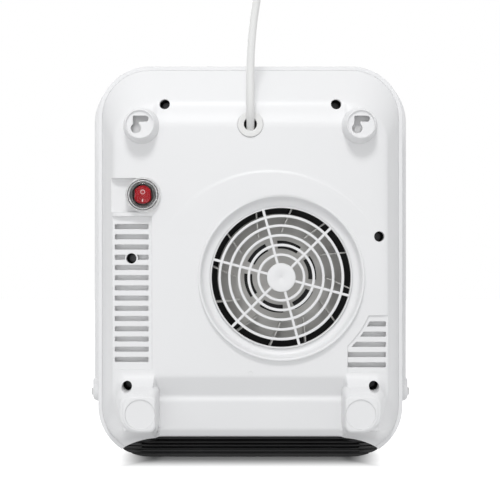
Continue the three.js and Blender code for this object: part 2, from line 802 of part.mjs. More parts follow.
// Drip plates stand behind the slots, on a rib at either side
const BAFFLE_END = BAFFLE_DEPTH + BAFFLE_WALL;
const leftBaffle = () =>
  union(
    block(VENT_LEFT[0] - 2, VENT_LEFT[1] + 2, VENT_LEFT_FOOT, VENT_LEFT_TOP, BAFFLE_DEPTH, BAFFLE_END),
    block(VENT_LEFT[0] - 2, VENT_LEFT[0], VENT_LEFT_FOOT, VENT_LEFT_TOP, VENT_DEPTH, BAFFLE_END),
    block(VENT_LEFT[1], VENT_LEFT[1] + 2, VENT_LEFT_FOOT, VENT_LEFT_TOP, VENT_DEPTH, BAFFLE_END),
  );
const rightBaffle = () =>
  union(
    rightVent(BAFFLE_DEPTH, BAFFLE_END),
    block(
      VENT_RIGHT_OUTER,
      VENT_RIGHT_INNER,
      VENT_RIGHT_FOOT - BAFFLE_WALL,
      VENT_RIGHT_FOOT + 0.1,
      VENT_DEPTH,
      BAFFLE_END,
    ),
  );

const SWITCH_FLOOR_END = SWITCH_POCKET_DEPTH + SKIN;
const CORD_INNER_DEPTH = CORD_ROUTE[0][2];
const CORD_RADIUS = CORD_DIAMETER / 2;
const SADDLE_TOP = CORD_INNER_DEPTH - CORD_RADIUS - SEAT;
const CLAMP_Y = (CLAMP_TOP + CLAMP_FOOT) / 2;
const fanOpening = () => bar(FAN_X, FAN_Y, -5, 40, LIP_RADIUS - 1, FINE);

function coverFixings() {
  const sides = [-1, 1];
  return union(
    block(SWITCH_X, SWITCH_X + 34, SWITCH_Y - 17, SWITCH_Y + 17, SWITCH_POCKET_DEPTH, SWITCH_FLOOR_END),
    leftVent(2, VENT_DEPTH, VENT_DEPTH + SKIN),
    leftBaffle(),
    rightVent(VENT_DEPTH, VENT_DEPTH + SKIN),
    rightBaffle(),
    WELLS.map(([x, y]) => bar(x, y, 12, WELL_DEPTH + WELL_FLOOR, WELL_RADIUS + WELL_WALL)),
    scrollEars.map(([x, y]) => bar(x, y, 16, SCROLL_BACK - SEAT, EAR_RADIUS, SMALL)),
    block(-14, 14, CLAMP_FOOT, CLAMP_TOP, 16, SADDLE_TOP),
    sides.map((side) => bar(side * CLAMP_SCREW_X, CLAMP_Y, 16, CORD_INNER_DEPTH + 3, 3.4, SMALL)),
    sides.map((side) => bar(TERMINAL_X + 12 * side, TERMINAL_Y, 16, TERMINAL_DEPTH - SEAT, 4, SMALL)),
  );
}

function coverOpenings() {
  const besideSwitch = block(
    SWITCH_X,
    FAR_X,
    SWITCH_Y - 15,
    SWITCH_Y + 14.5,
    -5,
    SWITCH_POCKET_DEPTH,
  ).subtract(bar(SWITCH_X, SWITCH_Y, -6, 40, SWITCH_BOSS));
  const vent = block(VENT_LEFT[0], FAR_X, VENT_LEFT_FOOT, VENT_LEFT_TOP, -5, VENT_DEPTH);
  return union(besideSwitch, vent, rightVent(-5, VENT_DEPTH), fanOpening());
}

function rearCover() {
  const pocketEnd = HANGER_RECESS + KEYHOLE_PLATE + KEYHOLE_POCKET;
  const cone = bar(HANGER_X, HANGER_Y, 0, 22, HANGER_RADIUS, FINE / 2, HANGER_RADIUS + HANGER_FLARE);
  const whole = union(
    backForm().subtract(behindPanel()),
    bothSides(wallPad()),
    bothSides(cone),
    domeForm(),
  );
  const hollow = union(
    backForm(SKIN, SKIN).subtract(behindPanel(SKIN)),
    bothSides(padPocket()),
    bothSides(bar(HANGER_X, HANGER_Y, pocketEnd + SKIN, 30, POCKET_RADIUS)),
  );
  const seatStart = GLAND_SEAT + 0.1;
  const glandSeat = bar(GLAND_X, GLAND_Y, seatStart, GLAND_SEAT_END, GLAND_RADIUS + 0.8, FINE / 2);
  const openings = coverOpenings();
  const shell = union(
    whole.subtract(hollow).subtract(openings),
    coverFixings().intersect(whole).subtract(openings),
    inletRing(),
    bar(SWITCH_X, SWITCH_Y, SWITCH_DEPTH, SWITCH_FLOOR_END, SWITCH_BOSS, FINE / 2),
    glandSeat,
  );
  const [, , leftWell] = WELLS;
  const aroundWell = bar(...leftWell, -6, 60, WELL_RADIUS + WELL_WALL);
  const leftSlots = slots(
    VENT_LEFT_SLOTS,
    VENT_LEFT_FIRST,
    VENT_LEFT[0] + SLOT_MARGIN,
    VENT_LEFT[1] - SLOT_MARGIN,
  ).subtract(aroundWell);
  const rightSlots = slots(
    VENT_RIGHT_SLOTS,
    VENT_RIGHT_FIRST,
    VENT_RIGHT_OUTER + SLOT_MARGIN,
    FAN_X,
  ).intersect(rightVent(-6, BAFFLE_DEPTH));
  const cuts = union(
    WELLS.map(([x, y]) => bar(x, y, -5, WELL_DEPTH, WELL_RADIUS)),
    WELLS.map(([x, y]) => bar(x, y, WELL_DEPTH - 1, WELL_DEPTH + 9, SCREW_RADIUS + SEAT, SMALL)),
    leftSlots,
    rightSlots,
    bothSides(bar(HANGER_X, HANGER_Y, -1, HANGER_RECESS, HANGER_RADIUS - HANGER_RIM, FINE / 2)),
    bothSides(bar(HANGER_X, HANGER_Y, HANGER_RECESS + KEYHOLE_PLATE, pocketEnd, POCKET_RADIUS, FINE / 2)),
    bothSides(bar(PAD_X, PAD_Y, -1, PAD_DISC_DEPTH, PAD_DISC_RADIUS, FINE / 2)),
    keyhole(HANGER_X),
    keyhole(-HANGER_X),
    bar(GLAND_X, GLAND_Y, 0, 30, GLAND_HOLE, FINE / 2),
    bar(GLAND_X, GLAND_Y, -5, GLAND_SEAT, GLAND_RADIUS + SEAT, FINE / 2),
    cordPassage(2 * SEAT),
    bar(SWITCH_X, SWITCH_Y, 0, 40, SWITCH_BODY + SEAT, FINE / 2),
    scrollEars.map(([x, y]) => bar(x, y, SCROLL_BACK - 9, 40, SCREW_RADIUS + SEAT, SMALL)),
    [-1, 1].map((side) => bar(side * CLAMP_SCREW_X, CLAMP_Y, 19, 40, CLAMP_SCREW + SEAT, SMALL)),
    belowOutletLine(),
  );
  return mainBody(shell.subtract(cuts));
}

// ---------------------------------------------------------------- front shell

function frontShell() {
  const hollow = union(
    frontForm([RIM_DEPTH - 1, RIM_END + SEAT], RIM_WALL),
    frontForm([RIM_END - 1, STEP_END, RAIL_DEPTH, ...FRONT_CURVE], FRONT_WALL, FRONT_STEP - 0.2),
  );
  const posts = WELLS.map(([x, y]) =>
    bar(x, y, WELL_DEPTH + WELL_FLOOR + SEAT, FRONT_DEPTH - 1, POST_RADIUS, ROUND, POST_RADIUS + 1),
  );
  const pivots = bothSides(
    union(
      crossBar(PIVOT_INNER, BODY_HALF_WIDTH - 4, RAIL_PIVOT_Y, RAIL_DEPTH, PIVOT_BOSS_RADIUS, ROUND),
      crossBar(
        BODY_HALF_WIDTH - 8,
        KNUCKLE_INNER - SEAT,
        RAIL_PIVOT_Y,
        RAIL_DEPTH,
        KNUCKLE_RADIUS - 0.5,
        ROUND,
      ),
    ),
  );
  const pilotEnd = WELL_DEPTH + SCREW_LENGTH + 5;
  const pilots = WELLS.map(([x, y]) => bar(x, y, WELL_DEPTH, pilotEnd, SCREW_RADIUS + SEAT, SMALL));
  const pinHoles = bothSides(
    crossBar(PIVOT_INNER + 2, BODY_HALF_WIDTH + 5, RAIL_PIVOT_Y, RAIL_DEPTH, PIN_RADIUS + SEAT),
  );
  const frontHoles = [
    ...[-KNOB_X, KNOB_X].map((x) => bar(x, KNOB_Y, FRONT_TURN, FRONT_DEPTH + 5, SPINDLE_RADIUS + SEAT)),
    bar(0, KNOB_Y, FRONT_TURN, FRONT_DEPTH + 5, LENS_RADIUS),
  ];
  const inside = frontForm(FRONT_DEPTHS);
  return frontForm(FRONT_DEPTHS)
    .subtract(hollow)
    .add(union(posts).intersect(inside))
    .add(pivots)
    .subtract(union(pilots, pinHoles, frontHoles))
    .subtract(belowOutletLine());
}

// ---------------------------------------------------------------- outlet grille

function outletGrille() {
  const below = belowOutletLine(SEAT);
  const form = (inwards) =>
    backForm(inwards).add(frontForm([RIM_DEPTH + inwards, ...FRONT_DEPTHS.slice(1)], inwards));
  const wall = form(0.4).subtract(form(GRILLE_WALL + 0.4)).intersect(below);
  const deep = form(0.4).subtract(form(LOUVRE_HEIGHT));
  const lean = (RIM_DEPTH - BOTTOM_SHOULDER) / BOTTOM_SLOPE;
  const rear = span(LOUVRE_COUNT).map((i) => {
    const y = OUTLET_TOP - 2 - LOUVRE_PITCH * (i + 1);
    const z = BOTTOM_SHOULDER + (OUTLET_TOP - y) * lean - 3;
    const section = [
      [y - 1, z],
      [y - 1 - LOUVRE_WALL, z],
      [y + 4 - LOUVRE_WALL, z + 11],
      [y + 4, z + 11],
    ];
    return sideProfile(section, -OUTLET_OPENING, OUTLET_OPENING);
  });
  const floor = span(FLOOR_LOUVRES).map((i) => {
    const z = RIM_DEPTH + 6 + i * FLOOR_PITCH;
    return block(-OUTLET_OPENING, OUTLET_OPENING, FAR_DOWN, OUTLET_TOP, z, z + LOUVRE_WALL);
  });
  const ribs = span(GRILLE_RIBS).map((i) => {
    const x = RIB_PITCH * (i - (GRILLE_RIBS - 1) / 2);
    return block(x - 1, x + 1, FAR_DOWN, OUTLET_TOP, 0, FRONT_DEPTH);
  });
  const opening = union(
    block(-OUTLET_OPENING, OUTLET_OPENING, FAR_DOWN, OUTLET_TOP, BOTTOM_SHOULDER, RIM_DEPTH - 1),
    block(-OUTLET_OPENING, OUTLET_OPENING, FAR_DOWN, OUTLET_TOP, RIM_DEPTH + 5, FRONT_TURN + 8),
  ).intersect(belowOutletLine(GRILLE_WALL));
  return wall.subtract(opening).add(union(rear, floor, ribs).intersect(deep).intersect(opening));
}

// ---------------------------------------------------------------- fan guard and impeller

function fanGuard() {
  const front = BOWL_DEPTH + 1.1;
  const back = front - GUARD_THICKNESS;
  const rings = span(GUARD_RINGS).map((i) => {
    const inner = GUARD_RING_FIRST + i * GUARD_RING_PITCH - GUARD_BAR / 2;
    const sides = i < 2 ? ROUND + 4 : FINE - 4;
    return bar(FAN_X, FAN_Y, back, front, inner + GUARD_BAR, sides).subtract(
      bar(FAN_X, FAN_Y, back - 1, front + 1, inner, sides),
    );
  });
  const spokes = span(GUARD_SPOKES).map((i) =>
    block(GUARD_HUB - 2, GUARD_RADIUS + 0.6, -GUARD_BAR / 2, GUARD_BAR / 2, back, front)
      .rotate([0, 0, GUARD_ANGLE + (i * 360) / GUARD_SPOKES])
      .translate([FAN_X, FAN_Y, 0]),
  );
  const rim = turned(FAN_X, FAN_Y, [
    [GUARD_RADIUS, back + 0.5],
    [INLET_RADIUS - SEAT, back + 0.5],
    [INLET_RADIUS - SEAT, BOWL_DEPTH + 1.7 + SEAT],
    [GUARD_FLANGE, BOWL_DEPTH + 1.7 + SEAT],
    [GUARD_FLANGE, SCROLL_BACK - SEAT],
    [GUARD_RADIUS, SCROLL_BACK - SEAT],
    [GUARD_RADIUS, back + 0.5],
  ]);
  return union(bar(FAN_X, FAN_Y, back - 0.5, front + 0.1, GUARD_HUB, FINE / 2), rings, spokes, rim);
}

// A blade in plan: a strip that sweeps back as it runs in
function blade(i) {
  const stations = span(BLADE_STEPS + 1).map((k) => {
    const along = k / BLADE_STEPS;
    const radius = IMPELLER_RADIUS - along * (IMPELLER_RADIUS - BLADE_INNER);
    const angle = BLADE_ANGLE + (i * 360) / IMPELLER_BLADES - BLADE_SWEEP * along ** 1.4;
    return [radius, angle];
  });
  const half = (radius) => (BLADE_THICKNESS / 2 / radius) * (180 / Math.PI);
  const one = stations.map(([r, a]) => polar(r, a - half(r)));
  const other = stations.map(([r, a]) => polar(r, a + half(r))).reverse();
  return prism(polygon([...one, ...other]), IMPELLER_BACK, IMPELLER_PLATE_DEPTH + 0.3);
}

function impeller() {
  const plateEnd = IMPELLER_PLATE_DEPTH + IMPELLER_PLATE;
  const arcSlots = span(GUARD_SPOKES).map((i) => {
    const from = GUARD_ANGLE + ((i + 0.5) * 360) / GUARD_SPOKES - SLOT_ARC / 2;
    const angles = span(SLOT_STEPS + 1).map((k) => from + (SLOT_ARC * k) / SLOT_STEPS);
    const outer = angles.map((angle) => polar(SLOT_OUTER, angle));
    const inner = angles.map((angle) => polar(SLOT_INNER, angle)).reverse();
    return prism(polygon([...outer, ...inner]), IMPELLER_PLATE_DEPTH - 1, plateEnd + 1);
  });
  return bar(FAN_X, FAN_Y, IMPELLER_PLATE_DEPTH, plateEnd, IMPELLER_PLATE_RADIUS, FINE)
    .subtract(union(arcSlots))
    .add(bar(FAN_X, FAN_Y, IMPELLER_PLATE_DEPTH - 4, plateEnd + 2, IMPELLER_HUB))
    .add(union(span(IMPELLER_BLADES).map(blade)))
    .subtract(bar(FAN_X, FAN_Y, IMPELLER_PLATE_DEPTH - 5, plateEnd + 5, SHAFT_RADIUS + SEAT, SMALL));
}

const motorScrews = [90, 210, 330].map((angle) => polar(MOTOR_SCREW_CIRCLE, angle));
const MOTOR_BACK = SCROLL_FRONT + SCROLL_WALL + SEAT;

function motorBody() {
  const end = MOTOR_BACK + MOTOR_LENGTH;
  const can = turned(FAN_X, FAN_Y, [
    [0, MOTOR_BACK],
    [MOTOR_RADIUS, MOTOR_BACK],
    [MOTOR_RADIUS, end - 3],
    [MOTOR_RADIUS - 3, end],
    [SHAFT_RADIUS + 6, end],
    [SHAFT_RADIUS + 6, end + 3],
    [0, end + 3],
  ], ROUND);
  const holes = motorScrews.map(([x, y]) =>
    bar(x, y, MOTOR_BACK - 1, MOTOR_BACK + 9, MOTOR_SCREW_RADIUS + SEAT, SMALL),
  );
  return can
    .subtract(bar(FAN_X, FAN_Y, MOTOR_BACK - 1, end - 3, SHAFT_RADIUS + SEAT, SMALL))
    .subtract(union(holes));
}

// ---------------------------------------------------------------- heating frame

const FRAME_TOP = SCROLL_FOOT - SEAT;
const FRAME_BACK = TOE_DEPTH + SKIN + SEAT;
const FRAME_INNER_BACK = FRAME_BACK + FRAME_WALL;

function heaterFrame() {
  const outer = block(FRAME_LEFT, FRAME_RIGHT, FRAME_FOOT, FRAME_TOP, FRAME_BACK, FRAME_BACK + FRAME_DEPTH);
  return outer.subtract(
    block(
      FRAME_LEFT + FRAME_WALL,
      FRAME_RIGHT - FRAME_WALL,
      FRAME_FOOT - 1,
      FRAME_TOP + 1,
      FRAME_INNER_BACK,
      FRAME_BACK + FRAME_DEPTH - FRAME_WALL,
    ),
  );
}

// A finned element that spans the frame
function heatingElement(back) {
  const x0 = FRAME_LEFT + FRAME_WALL + SEAT;
  const x1 = FRAME_RIGHT - FRAME_WALL - SEAT;
  const y0 = FRAME_FOOT + 4;
  const y1 = FRAME_TOP - 4;
  const pitch = (x1 - x0 - 8) / FIN_COUNT;
  const gaps = span(FIN_COUNT).map((i) =>
    block(x0 + 4 + i * pitch, x0 + 4 + (i + 0.6) * pitch, y0 - 1, y1 + 1, back + 4, back + ELEMENT_DEPTH + 1),
  );
  return block(x0, x1, y0, y1, back, back + ELEMENT_DEPTH).subtract(union(gaps));
}

// ---------------------------------------------------------------- switch

function switchHousing() {
  const neck = SWITCH_DEPTH - SEAT;
  const housing = turned(SWITCH_X, SWITCH_Y, [
    [0, neck - SWITCH_BEZEL_DEPTH],
    [SWITCH_BEZEL - 0.6, neck - SWITCH_BEZEL_DEPTH],
    [SWITCH_BEZEL, neck - SWITCH_BEZEL_DEPTH + 0.6],
    [SWITCH_BEZEL, neck],
    [SWITCH_BODY, neck],
    [SWITCH_BODY, neck + SWITCH_LENGTH],
    [0, neck + SWITCH_LENGTH],
  ], 2 * SMALL + 8);
  const well = bar(SWITCH_X, SWITCH_Y, 0, ROCKER_PIVOT_DEPTH + 5.5, ROCKER_RADIUS + 0.6, ROUND);
  const reach = ROCKER_HALF_WIDTH + 0.4;
  return housing.subtract(
    well.intersect(block(SWITCH_X - reach, SWITCH_X + reach, FAR_DOWN, FAR_UP, 0, 40)),
  );
}

// The rocker is drawn level, then tipped to its off position, with its upper end pressed in
function rocker() {
  const high = ROCKER_PIVOT_DEPTH - 3.8;
  const level = sideProfile(
    [
      [-8.6, high],
      [0, high + 1.3],
      [8.6, high],
      [7.4, ROCKER_PIVOT_DEPTH + 2],
      [0, ROCKER_PIVOT_DEPTH + 4],
      [-7.4, ROCKER_PIVOT_DEPTH + 2],
    ],
    -ROCKER_HALF_WIDTH,
    ROCKER_HALF_WIDTH,
  ).intersect(bar(0, 0, 0, 40, ROCKER_RADIUS, ROUND));
  return level
    .translate([0, 0, -ROCKER_PIVOT_DEPTH])
    .rotate([ROCKER_TILT, 0, 0])
    .translate([SWITCH_X, SWITCH_Y, ROCKER_PIVOT_DEPTH]);
}

// A clear splash cap over the switch
const switchBoot = () => {
  const seat = SWITCH_DEPTH - SEAT;
  const inner = SWITCH_BEZEL + SEAT;
  return turned(SWITCH_X, SWITCH_Y, [
    [BOOT_RADIUS, seat],
    [BOOT_RADIUS, seat - 2.6],
    [BOOT_RADIUS - 1.6, seat - 3],
    [BOOT_RADIUS - 2.4, seat - 5.8],
    [BOOT_RADIUS - 5.8, seat - BOOT_HEIGHT + 0.7],
    [0, seat - BOOT_HEIGHT],
    [0, seat - BOOT_HEIGHT + 1],
    [BOOT_RADIUS - 6.2, seat - BOOT_HEIGHT + 1.6],
    [inner - 0.4, seat - 5.2],
    [inner, seat - 2.2],
    [inner, seat],
    [BOOT_RADIUS, seat],
  ], 2 * SMALL + 8);
};

// ---------------------------------------------------------------- controls on the front

const SHELL_INSIDE = FRONT_DEPTH - FRONT_WALL - SEAT;

function controlBody(x) {
  const body = bar(x, KNOB_Y, SHELL_INSIDE - CONTROL_LENGTH, SHELL_INSIDE, CONTROL_RADIUS);
  return body.subtract(
    bar(x, KNOB_Y, SHELL_INSIDE - CONTROL_LENGTH + 3, FRONT_DEPTH, SPINDLE_RADIUS + SEAT),
  );
}

const spindle = (x) =>
  bar(x, KNOB_Y, SHELL_INSIDE - CONTROL_LENGTH + 3 + SEAT, FRONT_DEPTH + SPINDLE_REACH, SPINDLE_RADIUS);

// A round knob with a skirt and a raised grip across it
function knob(x) {
  const back = FRONT_DEPTH + SEAT;
  const disc = turned(x, KNOB_Y, [
    [0, back],
    [KNOB_RADIUS, back],
    [KNOB_RADIUS, back + KNOB_SKIRT - 1.5],
    [KNOB_RADIUS - 1.5, back + KNOB_SKIRT],
    [0, back + KNOB_SKIRT],
  ], FINE / 2 + 8);
  const taper = bar(x, KNOB_Y, back + 1, back + KNOB_HEIGHT, KNOB_RADIUS - 1, ROUND, KNOB_RADIUS - 2.5);
  const gripEnd = back + KNOB_HEIGHT + 1;
  const grip = block(x - 4.5, x + 4.5, KNOB_Y - KNOB_RADIUS, KNOB_Y + KNOB_RADIUS, back + 1, gripEnd);
  return disc
    .add(taper.intersect(grip))
    .subtract(bar(x, KNOB_Y, 0, FRONT_DEPTH + SPINDLE_REACH + SEAT, SPINDLE_RADIUS + SEAT));
}

const pilotLens = () =>
  turned(0, KNOB_Y, [
    [0, FRONT_DEPTH - 6],
    [LENS_RADIUS - SEAT, FRONT_DEPTH - 6],
    [LENS_RADIUS - SEAT, FRONT_DEPTH + SEAT],
    [LENS_RADIUS + 1, FRONT_DEPTH + SEAT],
    [LENS_RADIUS, FRONT_DEPTH + 1.6],
    [0, FRONT_DEPTH + 2.4],
  ], ROUND);

// ---------------------------------------------------------------- towel rail

// A round bar bent through planar points, each [x, y], at the rail's depth
function towelRail() {
  const start = [[RAIL_X, RAIL_FOOT]];
  const bend = span(RAIL_STEPS + 1).map((i) => {
    const angle = (QUARTER * i) / RAIL_STEPS;
    return [
      RAIL_X - RAIL_BEND + RAIL_BEND * Math.cos(angle),
      RAIL_TOP - RAIL_BEND + RAIL_BEND * Math.sin(angle),
    ];
  });
  const half = [...start, ...bend];
  const path = [...half, ...half.map(([x, y]) => [-x, y]).reverse()].map(([x, y]) => V(x, y, RAIL_DEPTH));
  const rings = path.map((point, i) => {
    const before = path[Math.max(0, i - 1)];
    const after = path[Math.min(path.length - 1, i + 1)];
    const ahead = after.clone().sub(before).normalize();
    const across = V(0, 0, 1).cross(ahead);
    return span(SMALL).map((k) => {
      const angle = (TURN * k) / SMALL;
      return point
        .clone()
        .addScaledVector(across, RAIL_RADIUS * Math.cos(angle))
        .addScaledVector(V(0, 0, 1), RAIL_RADIUS * Math.sin(angle));
    });
  });
  return solid(skin(rings));
}

function knuckle() {
  const outer = KNUCKLE_OUTER - 3.5;
  const disc = union(
    crossBar(KNUCKLE_INNER, outer, RAIL_PIVOT_Y, RAIL_DEPTH, KNUCKLE_RADIUS, ROUND),
    solid(
      new THREE.CylinderGeometry(KNUCKLE_RADIUS - 3.2, KNUCKLE_RADIUS, KNUCKLE_OUTER - outer, ROUND)
        .rotateZ(-QUARTER)
        .translate((outer + KNUCKLE_OUTER) / 2, RAIL_PIVOT_Y, RAIL_DEPTH),
    ),
  );
  const half = (KNUCKLE_OUTER - KNUCKLE_INNER) / 2;
  const neck = block(
    KNUCKLE_INNER,
    KNUCKLE_OUTER,
    RAIL_PIVOT_Y,
    RAIL_FOOT + SOCKET_DEPTH,
    RAIL_DEPTH - half - 0.7,
    RAIL_DEPTH + half + 0.7,
  );
  const socket = solid(
    new THREE.CylinderGeometry(RAIL_RADIUS + SEAT, RAIL_RADIUS + SEAT, 20, SMALL).translate(
      RAIL_X,
      RAIL_FOOT - SEAT + 10,
      RAIL_DEPTH,
    ),
  );
  return disc
    .add(neck)
    .subtract(socket)
    .subtract(crossBar(KNUCKLE_INNER - 1, KNUCKLE_OUTER + 1, RAIL_PIVOT_Y, RAIL_DEPTH, PIN_RADIUS + SEAT));
}

const pivotPin = () =>
  union(
    crossBar(PIVOT_INNER + 3, KNUCKLE_OUTER + 1, RAIL_PIVOT_Y, RAIL_DEPTH, PIN_RADIUS),
    crossBar(KNUCKLE_OUTER + SEAT, KNUCKLE_OUTER + 1.6, RAIL_PIVOT_Y, RAIL_DEPTH, PIN_HEAD_RADIUS, ROUND),
  );

// ---------------------------------------------------------------- mains lead

// From the clamp inside, up through the slanting gland and up the wall to the coil
function cordTube(points, grown = 0, steps = CORD_STEPS) {
  const section = new THREE.Shape();
  section.absarc(0, 0, CORD_RADIUS + grown, 0, TURN);
  const path = new THREE.CatmullRomCurve3(points.map((p) => V(...p)), false, 'centripetal');
  const settings = { steps, extrudePath: path, curveSegments: CORD_SIDES / 2, bevelEnabled: false };
  return solid(new THREE.ExtrudeGeometry(section, settings));
}

function cordPassage(clearance) {
  return cordTube(CORD_ROUTE.slice(1, PASSAGE_POINTS + 1), clearance, SMALL);
}

// The coil winds in, steps out from the wall and winds out again over itself
function coilPath() {
  const lean = radians(COIL_START);
  const total = COIL_TURNS * COIL_LOOP_STEPS;
  const reversal = COIL_TURNS / 2;
  const points = span(Math.round(total) + 1).map((i) => {
    const turn = (i / Math.round(total)) * COIL_TURNS;
    const inner = COIL_OUTER - reversal * COIL_PITCH;
    const radius = inner + COIL_PITCH * Math.abs(turn - reversal);
    const climb = Math.min(1, Math.max(0, (turn - reversal) * 2 + 0.5));
    const eased = climb * climb * (3 - 2 * climb);
    const angle = lean + turn * TURN;
    return V(
      COIL_X + radius * Math.cos(angle),
      COIL_Y + radius * Math.sin(angle),
      CORD_DEPTH + COIL_PITCH * eased,
    );
  });
  const lead = V(-Math.sin(lean), Math.cos(lean), 0).multiplyScalar(-CORD_DIAMETER);
  const last = points[points.length - 1];
  return [points[0].clone().add(lead), ...points, last.clone().add(V(-TAIL_LENGTH, 0, 0))];
}

function coilTube(path) {
  const up = V(0, 0, 1);
  const rings = path.map((point, i) => {
    const before = path[Math.max(0, i - 1)];
    const after = path[Math.min(path.length - 1, i + 1)];
    const ahead = after.clone().sub(before).normalize();
    const across = up.clone().cross(ahead).normalize();
    const over = ahead.clone().cross(across);
    return span(COIL_SIDES).map((k) => {
      const angle = (TURN * (k + 0.5)) / COIL_SIDES;
      return point
        .clone()
        .addScaledVector(across, CORD_RADIUS * Math.cos(angle))
        .addScaledVector(over, CORD_RADIUS * Math.sin(angle));
    });
  });
  return solid(skin(rings));
}

// The least gap between stretches of the coil that are more than half a turn apart
function leastGap(path) {
  const apart = COIL_LOOP_STEPS / 2;
  let least = Infinity;
  path.forEach((a, i) => {
    for (let j = i + apart; j < path.length; j += 1) least = Math.min(least, a.distanceTo(path[j]));
  });
  return least - CORD_DIAMETER;
}

const COIL_PATH = coilPath();
const COIL_END = COIL_PATH[COIL_PATH.length - 1];
const lengthOf = (path) => path.slice(1).reduce((sum, p, i) => sum + p.distanceTo(path[i]), 0);
const route = CORD_ROUTE.map((p) => V(...p));
const freeLength = new THREE.CatmullRomCurve3(route, false, 'centripetal').getLength();
console.log(`coil: least gap to itself ${leastGap(COIL_PATH).toFixed(2)} mm`);
console.log(`mains lead: ${(freeLength + lengthOf(COIL_PATH)).toFixed(0)} mm outside the plug`);

function cordGland() {
  const barrel = turned(GLAND_X, GLAND_Y, [
    [0, GLAND_DEPTH],
    [GLAND_RADIUS - 0.6, GLAND_DEPTH],
    [GLAND_RADIUS, GLAND_DEPTH + 0.6],
    [GLAND_RADIUS, GLAND_SEAT - SEAT],
    [GLAND_HOLE - SEAT, GLAND_SEAT - SEAT],
    [GLAND_HOLE - SEAT, GLAND_SEAT_END + 2],
    [0, GLAND_SEAT_END + 2],
  ], 2 * SMALL + 8);
  const hooks = [-1, 1].map((side) =>
    block(
      GLAND_X + side * (GLAND_HOLE + 1) - 1.6,
      GLAND_X + side * (GLAND_HOLE + 1) + 1.6,
      GLAND_Y - 3,
      GLAND_Y + 3,
      GLAND_SEAT_END + SEAT,
      GLAND_SEAT_END + 2,
    ),
  );
  const mouth = bar(GLAND_X, GLAND_Y, GLAND_DEPTH - 5, GLAND_DEPTH + 1, GLAND_BORE);
  return barrel.add(union(hooks)).subtract(mouth).subtract(cordPassage(SEAT));
}

// A strap closed round all the turns on one side of the coil
function cordTie() {
  const angle = radians(TIE_ANGLE);
  const turns = COIL_PATH.filter((p) => {
    const off = Math.atan2(p.y - COIL_Y, p.x - COIL_X) - angle;
    return Math.abs(Math.atan2(Math.sin(off), Math.cos(off))) < Math.PI / COIL_LOOP_STEPS;
  });
  const reach = turns.map((p) => Math.hypot(p.x - COIL_X, p.y - COIL_Y));
  const inner = Math.min(...reach) - CORD_RADIUS - TIE_CLEARANCE;
  const outer = Math.max(...reach) + CORD_RADIUS + TIE_CLEARANCE;
  const back = CORD_DEPTH - CORD_RADIUS - SEAT;
  const front = CORD_DEPTH + COIL_PITCH + CORD_RADIUS + SEAT;
  const loop = (grown, from, to) => {
    const corner = Array(4).fill(2.5 + grown);
    const ring = roundedRing(inner - grown, outer + grown, back - grown, front + grown, corner, 3);
    return solid(skin([from, to].map((y) => ring.map(([x, z]) => V(x, y, z)))));
  };
  return loop(TIE_WALL, -TIE_WIDTH / 2, TIE_WIDTH / 2)
    .subtract(loop(0, -TIE_WIDTH, TIE_WIDTH))
    .rotate([0, 0, TIE_ANGLE])
    .translate([COIL_X, COIL_Y, 0]);
}

// Two-pin plug with a waisted body and a ribbed neck, lying along the wall
const PLUG_NECK_START = COIL_END.x - SEAT;
const PLUG_FACE = PLUG_NECK_START - PLUG_NECK - PLUG_LENGTH;
const plugPinY = (side) => COIL_END.y + (side * PLUG_PIN_PITCH) / 2;

function plugBody() {
  const section = (x, wide, thick) => {
    const corner = Math.min(wide, thick) / 2 - 0.2;
    const ring = roundedRing(-wide / 2, wide / 2, -thick / 2, thick / 2, Array(4).fill(corner), 4);
    return ring.map(([y, z]) => V(x, COIL_END.y + y, COIL_END.z + z));
  };
  const body = [
    [0, 1, 1],
    [0.35, 1, 1],
    [0.6, 0.92, 0.94],
    [0.8, 0.7, 0.8],
    [1, 0.42, 0.56],
  ].map(([along, wide, thick]) =>
    section(PLUG_FACE + along * PLUG_LENGTH, wide * PLUG_WIDTH, thick * PLUG_THICKNESS),
  );
  const neck = span(NECK_RIBS * 2).map((i) => {
    const x = PLUG_FACE + PLUG_LENGTH + (PLUG_NECK * (i + 1)) / (NECK_RIBS * 2);
    const wide = CORD_DIAMETER + (i % 2 ? 1.8 : 4);
    return section(x, wide, wide);
  });
  const holes = [-1, 1].map((side) =>
    crossBar(PLUG_FACE - 1, PLUG_FACE + PIN_ROOT, plugPinY(side), COIL_END.z, PLUG_PIN_RADIUS + SEAT),
  );
  return solid(skin([...body, ...neck])).subtract(union(holes));
}

const plugPin = (side) =>
  crossBar(
    PLUG_FACE - PLUG_PIN_LENGTH,
    PLUG_FACE + PIN_ROOT - SEAT,
    plugPinY(side),
    COIL_END.z,
    PLUG_PIN_RADIUS,
  );

// ---------------------------------------------------------------- clamp and terminals

function cordClamp() {
  const under = CORD_INNER_DEPTH + CORD_RADIUS + SEAT;
  const strip = block(-14, 14, CLAMP_FOOT, CLAMP_TOP, under, under + 3);
  const holes = [-1, 1].map((side) =>
    bar(side * CLAMP_SCREW_X, CLAMP_Y, under - 1, under + 4, CLAMP_SCREW + SEAT, SMALL),
  );
  return strip.subtract(union(holes));
}

const clampScrew = (side) => {
  const head = CORD_INNER_DEPTH + CORD_RADIUS + 3 + 2 * SEAT;
  const x = side * CLAMP_SCREW_X;
  return bar(x, CLAMP_Y, head - 9, head, CLAMP_SCREW, SMALL).add(bar(x, CLAMP_Y, head, head + 1.8, 3, SMALL));
};

function terminalBlock() {
  const body = block(
    TERMINAL_X - 18,
    TERMINAL_X + 18,
    TERMINAL_Y - 7,
    TERMINAL_Y + 7,
    TERMINAL_DEPTH,
    TERMINAL_DEPTH + 12,
  );
  const wells = span(3).map((i) =>
    bar(TERMINAL_X + 12 * (i - 1), TERMINAL_Y, TERMINAL_DEPTH + 6, TERMINAL_DEPTH + 13, 2.6, SMALL),
  );
  return body.subtract(union(wells));
}

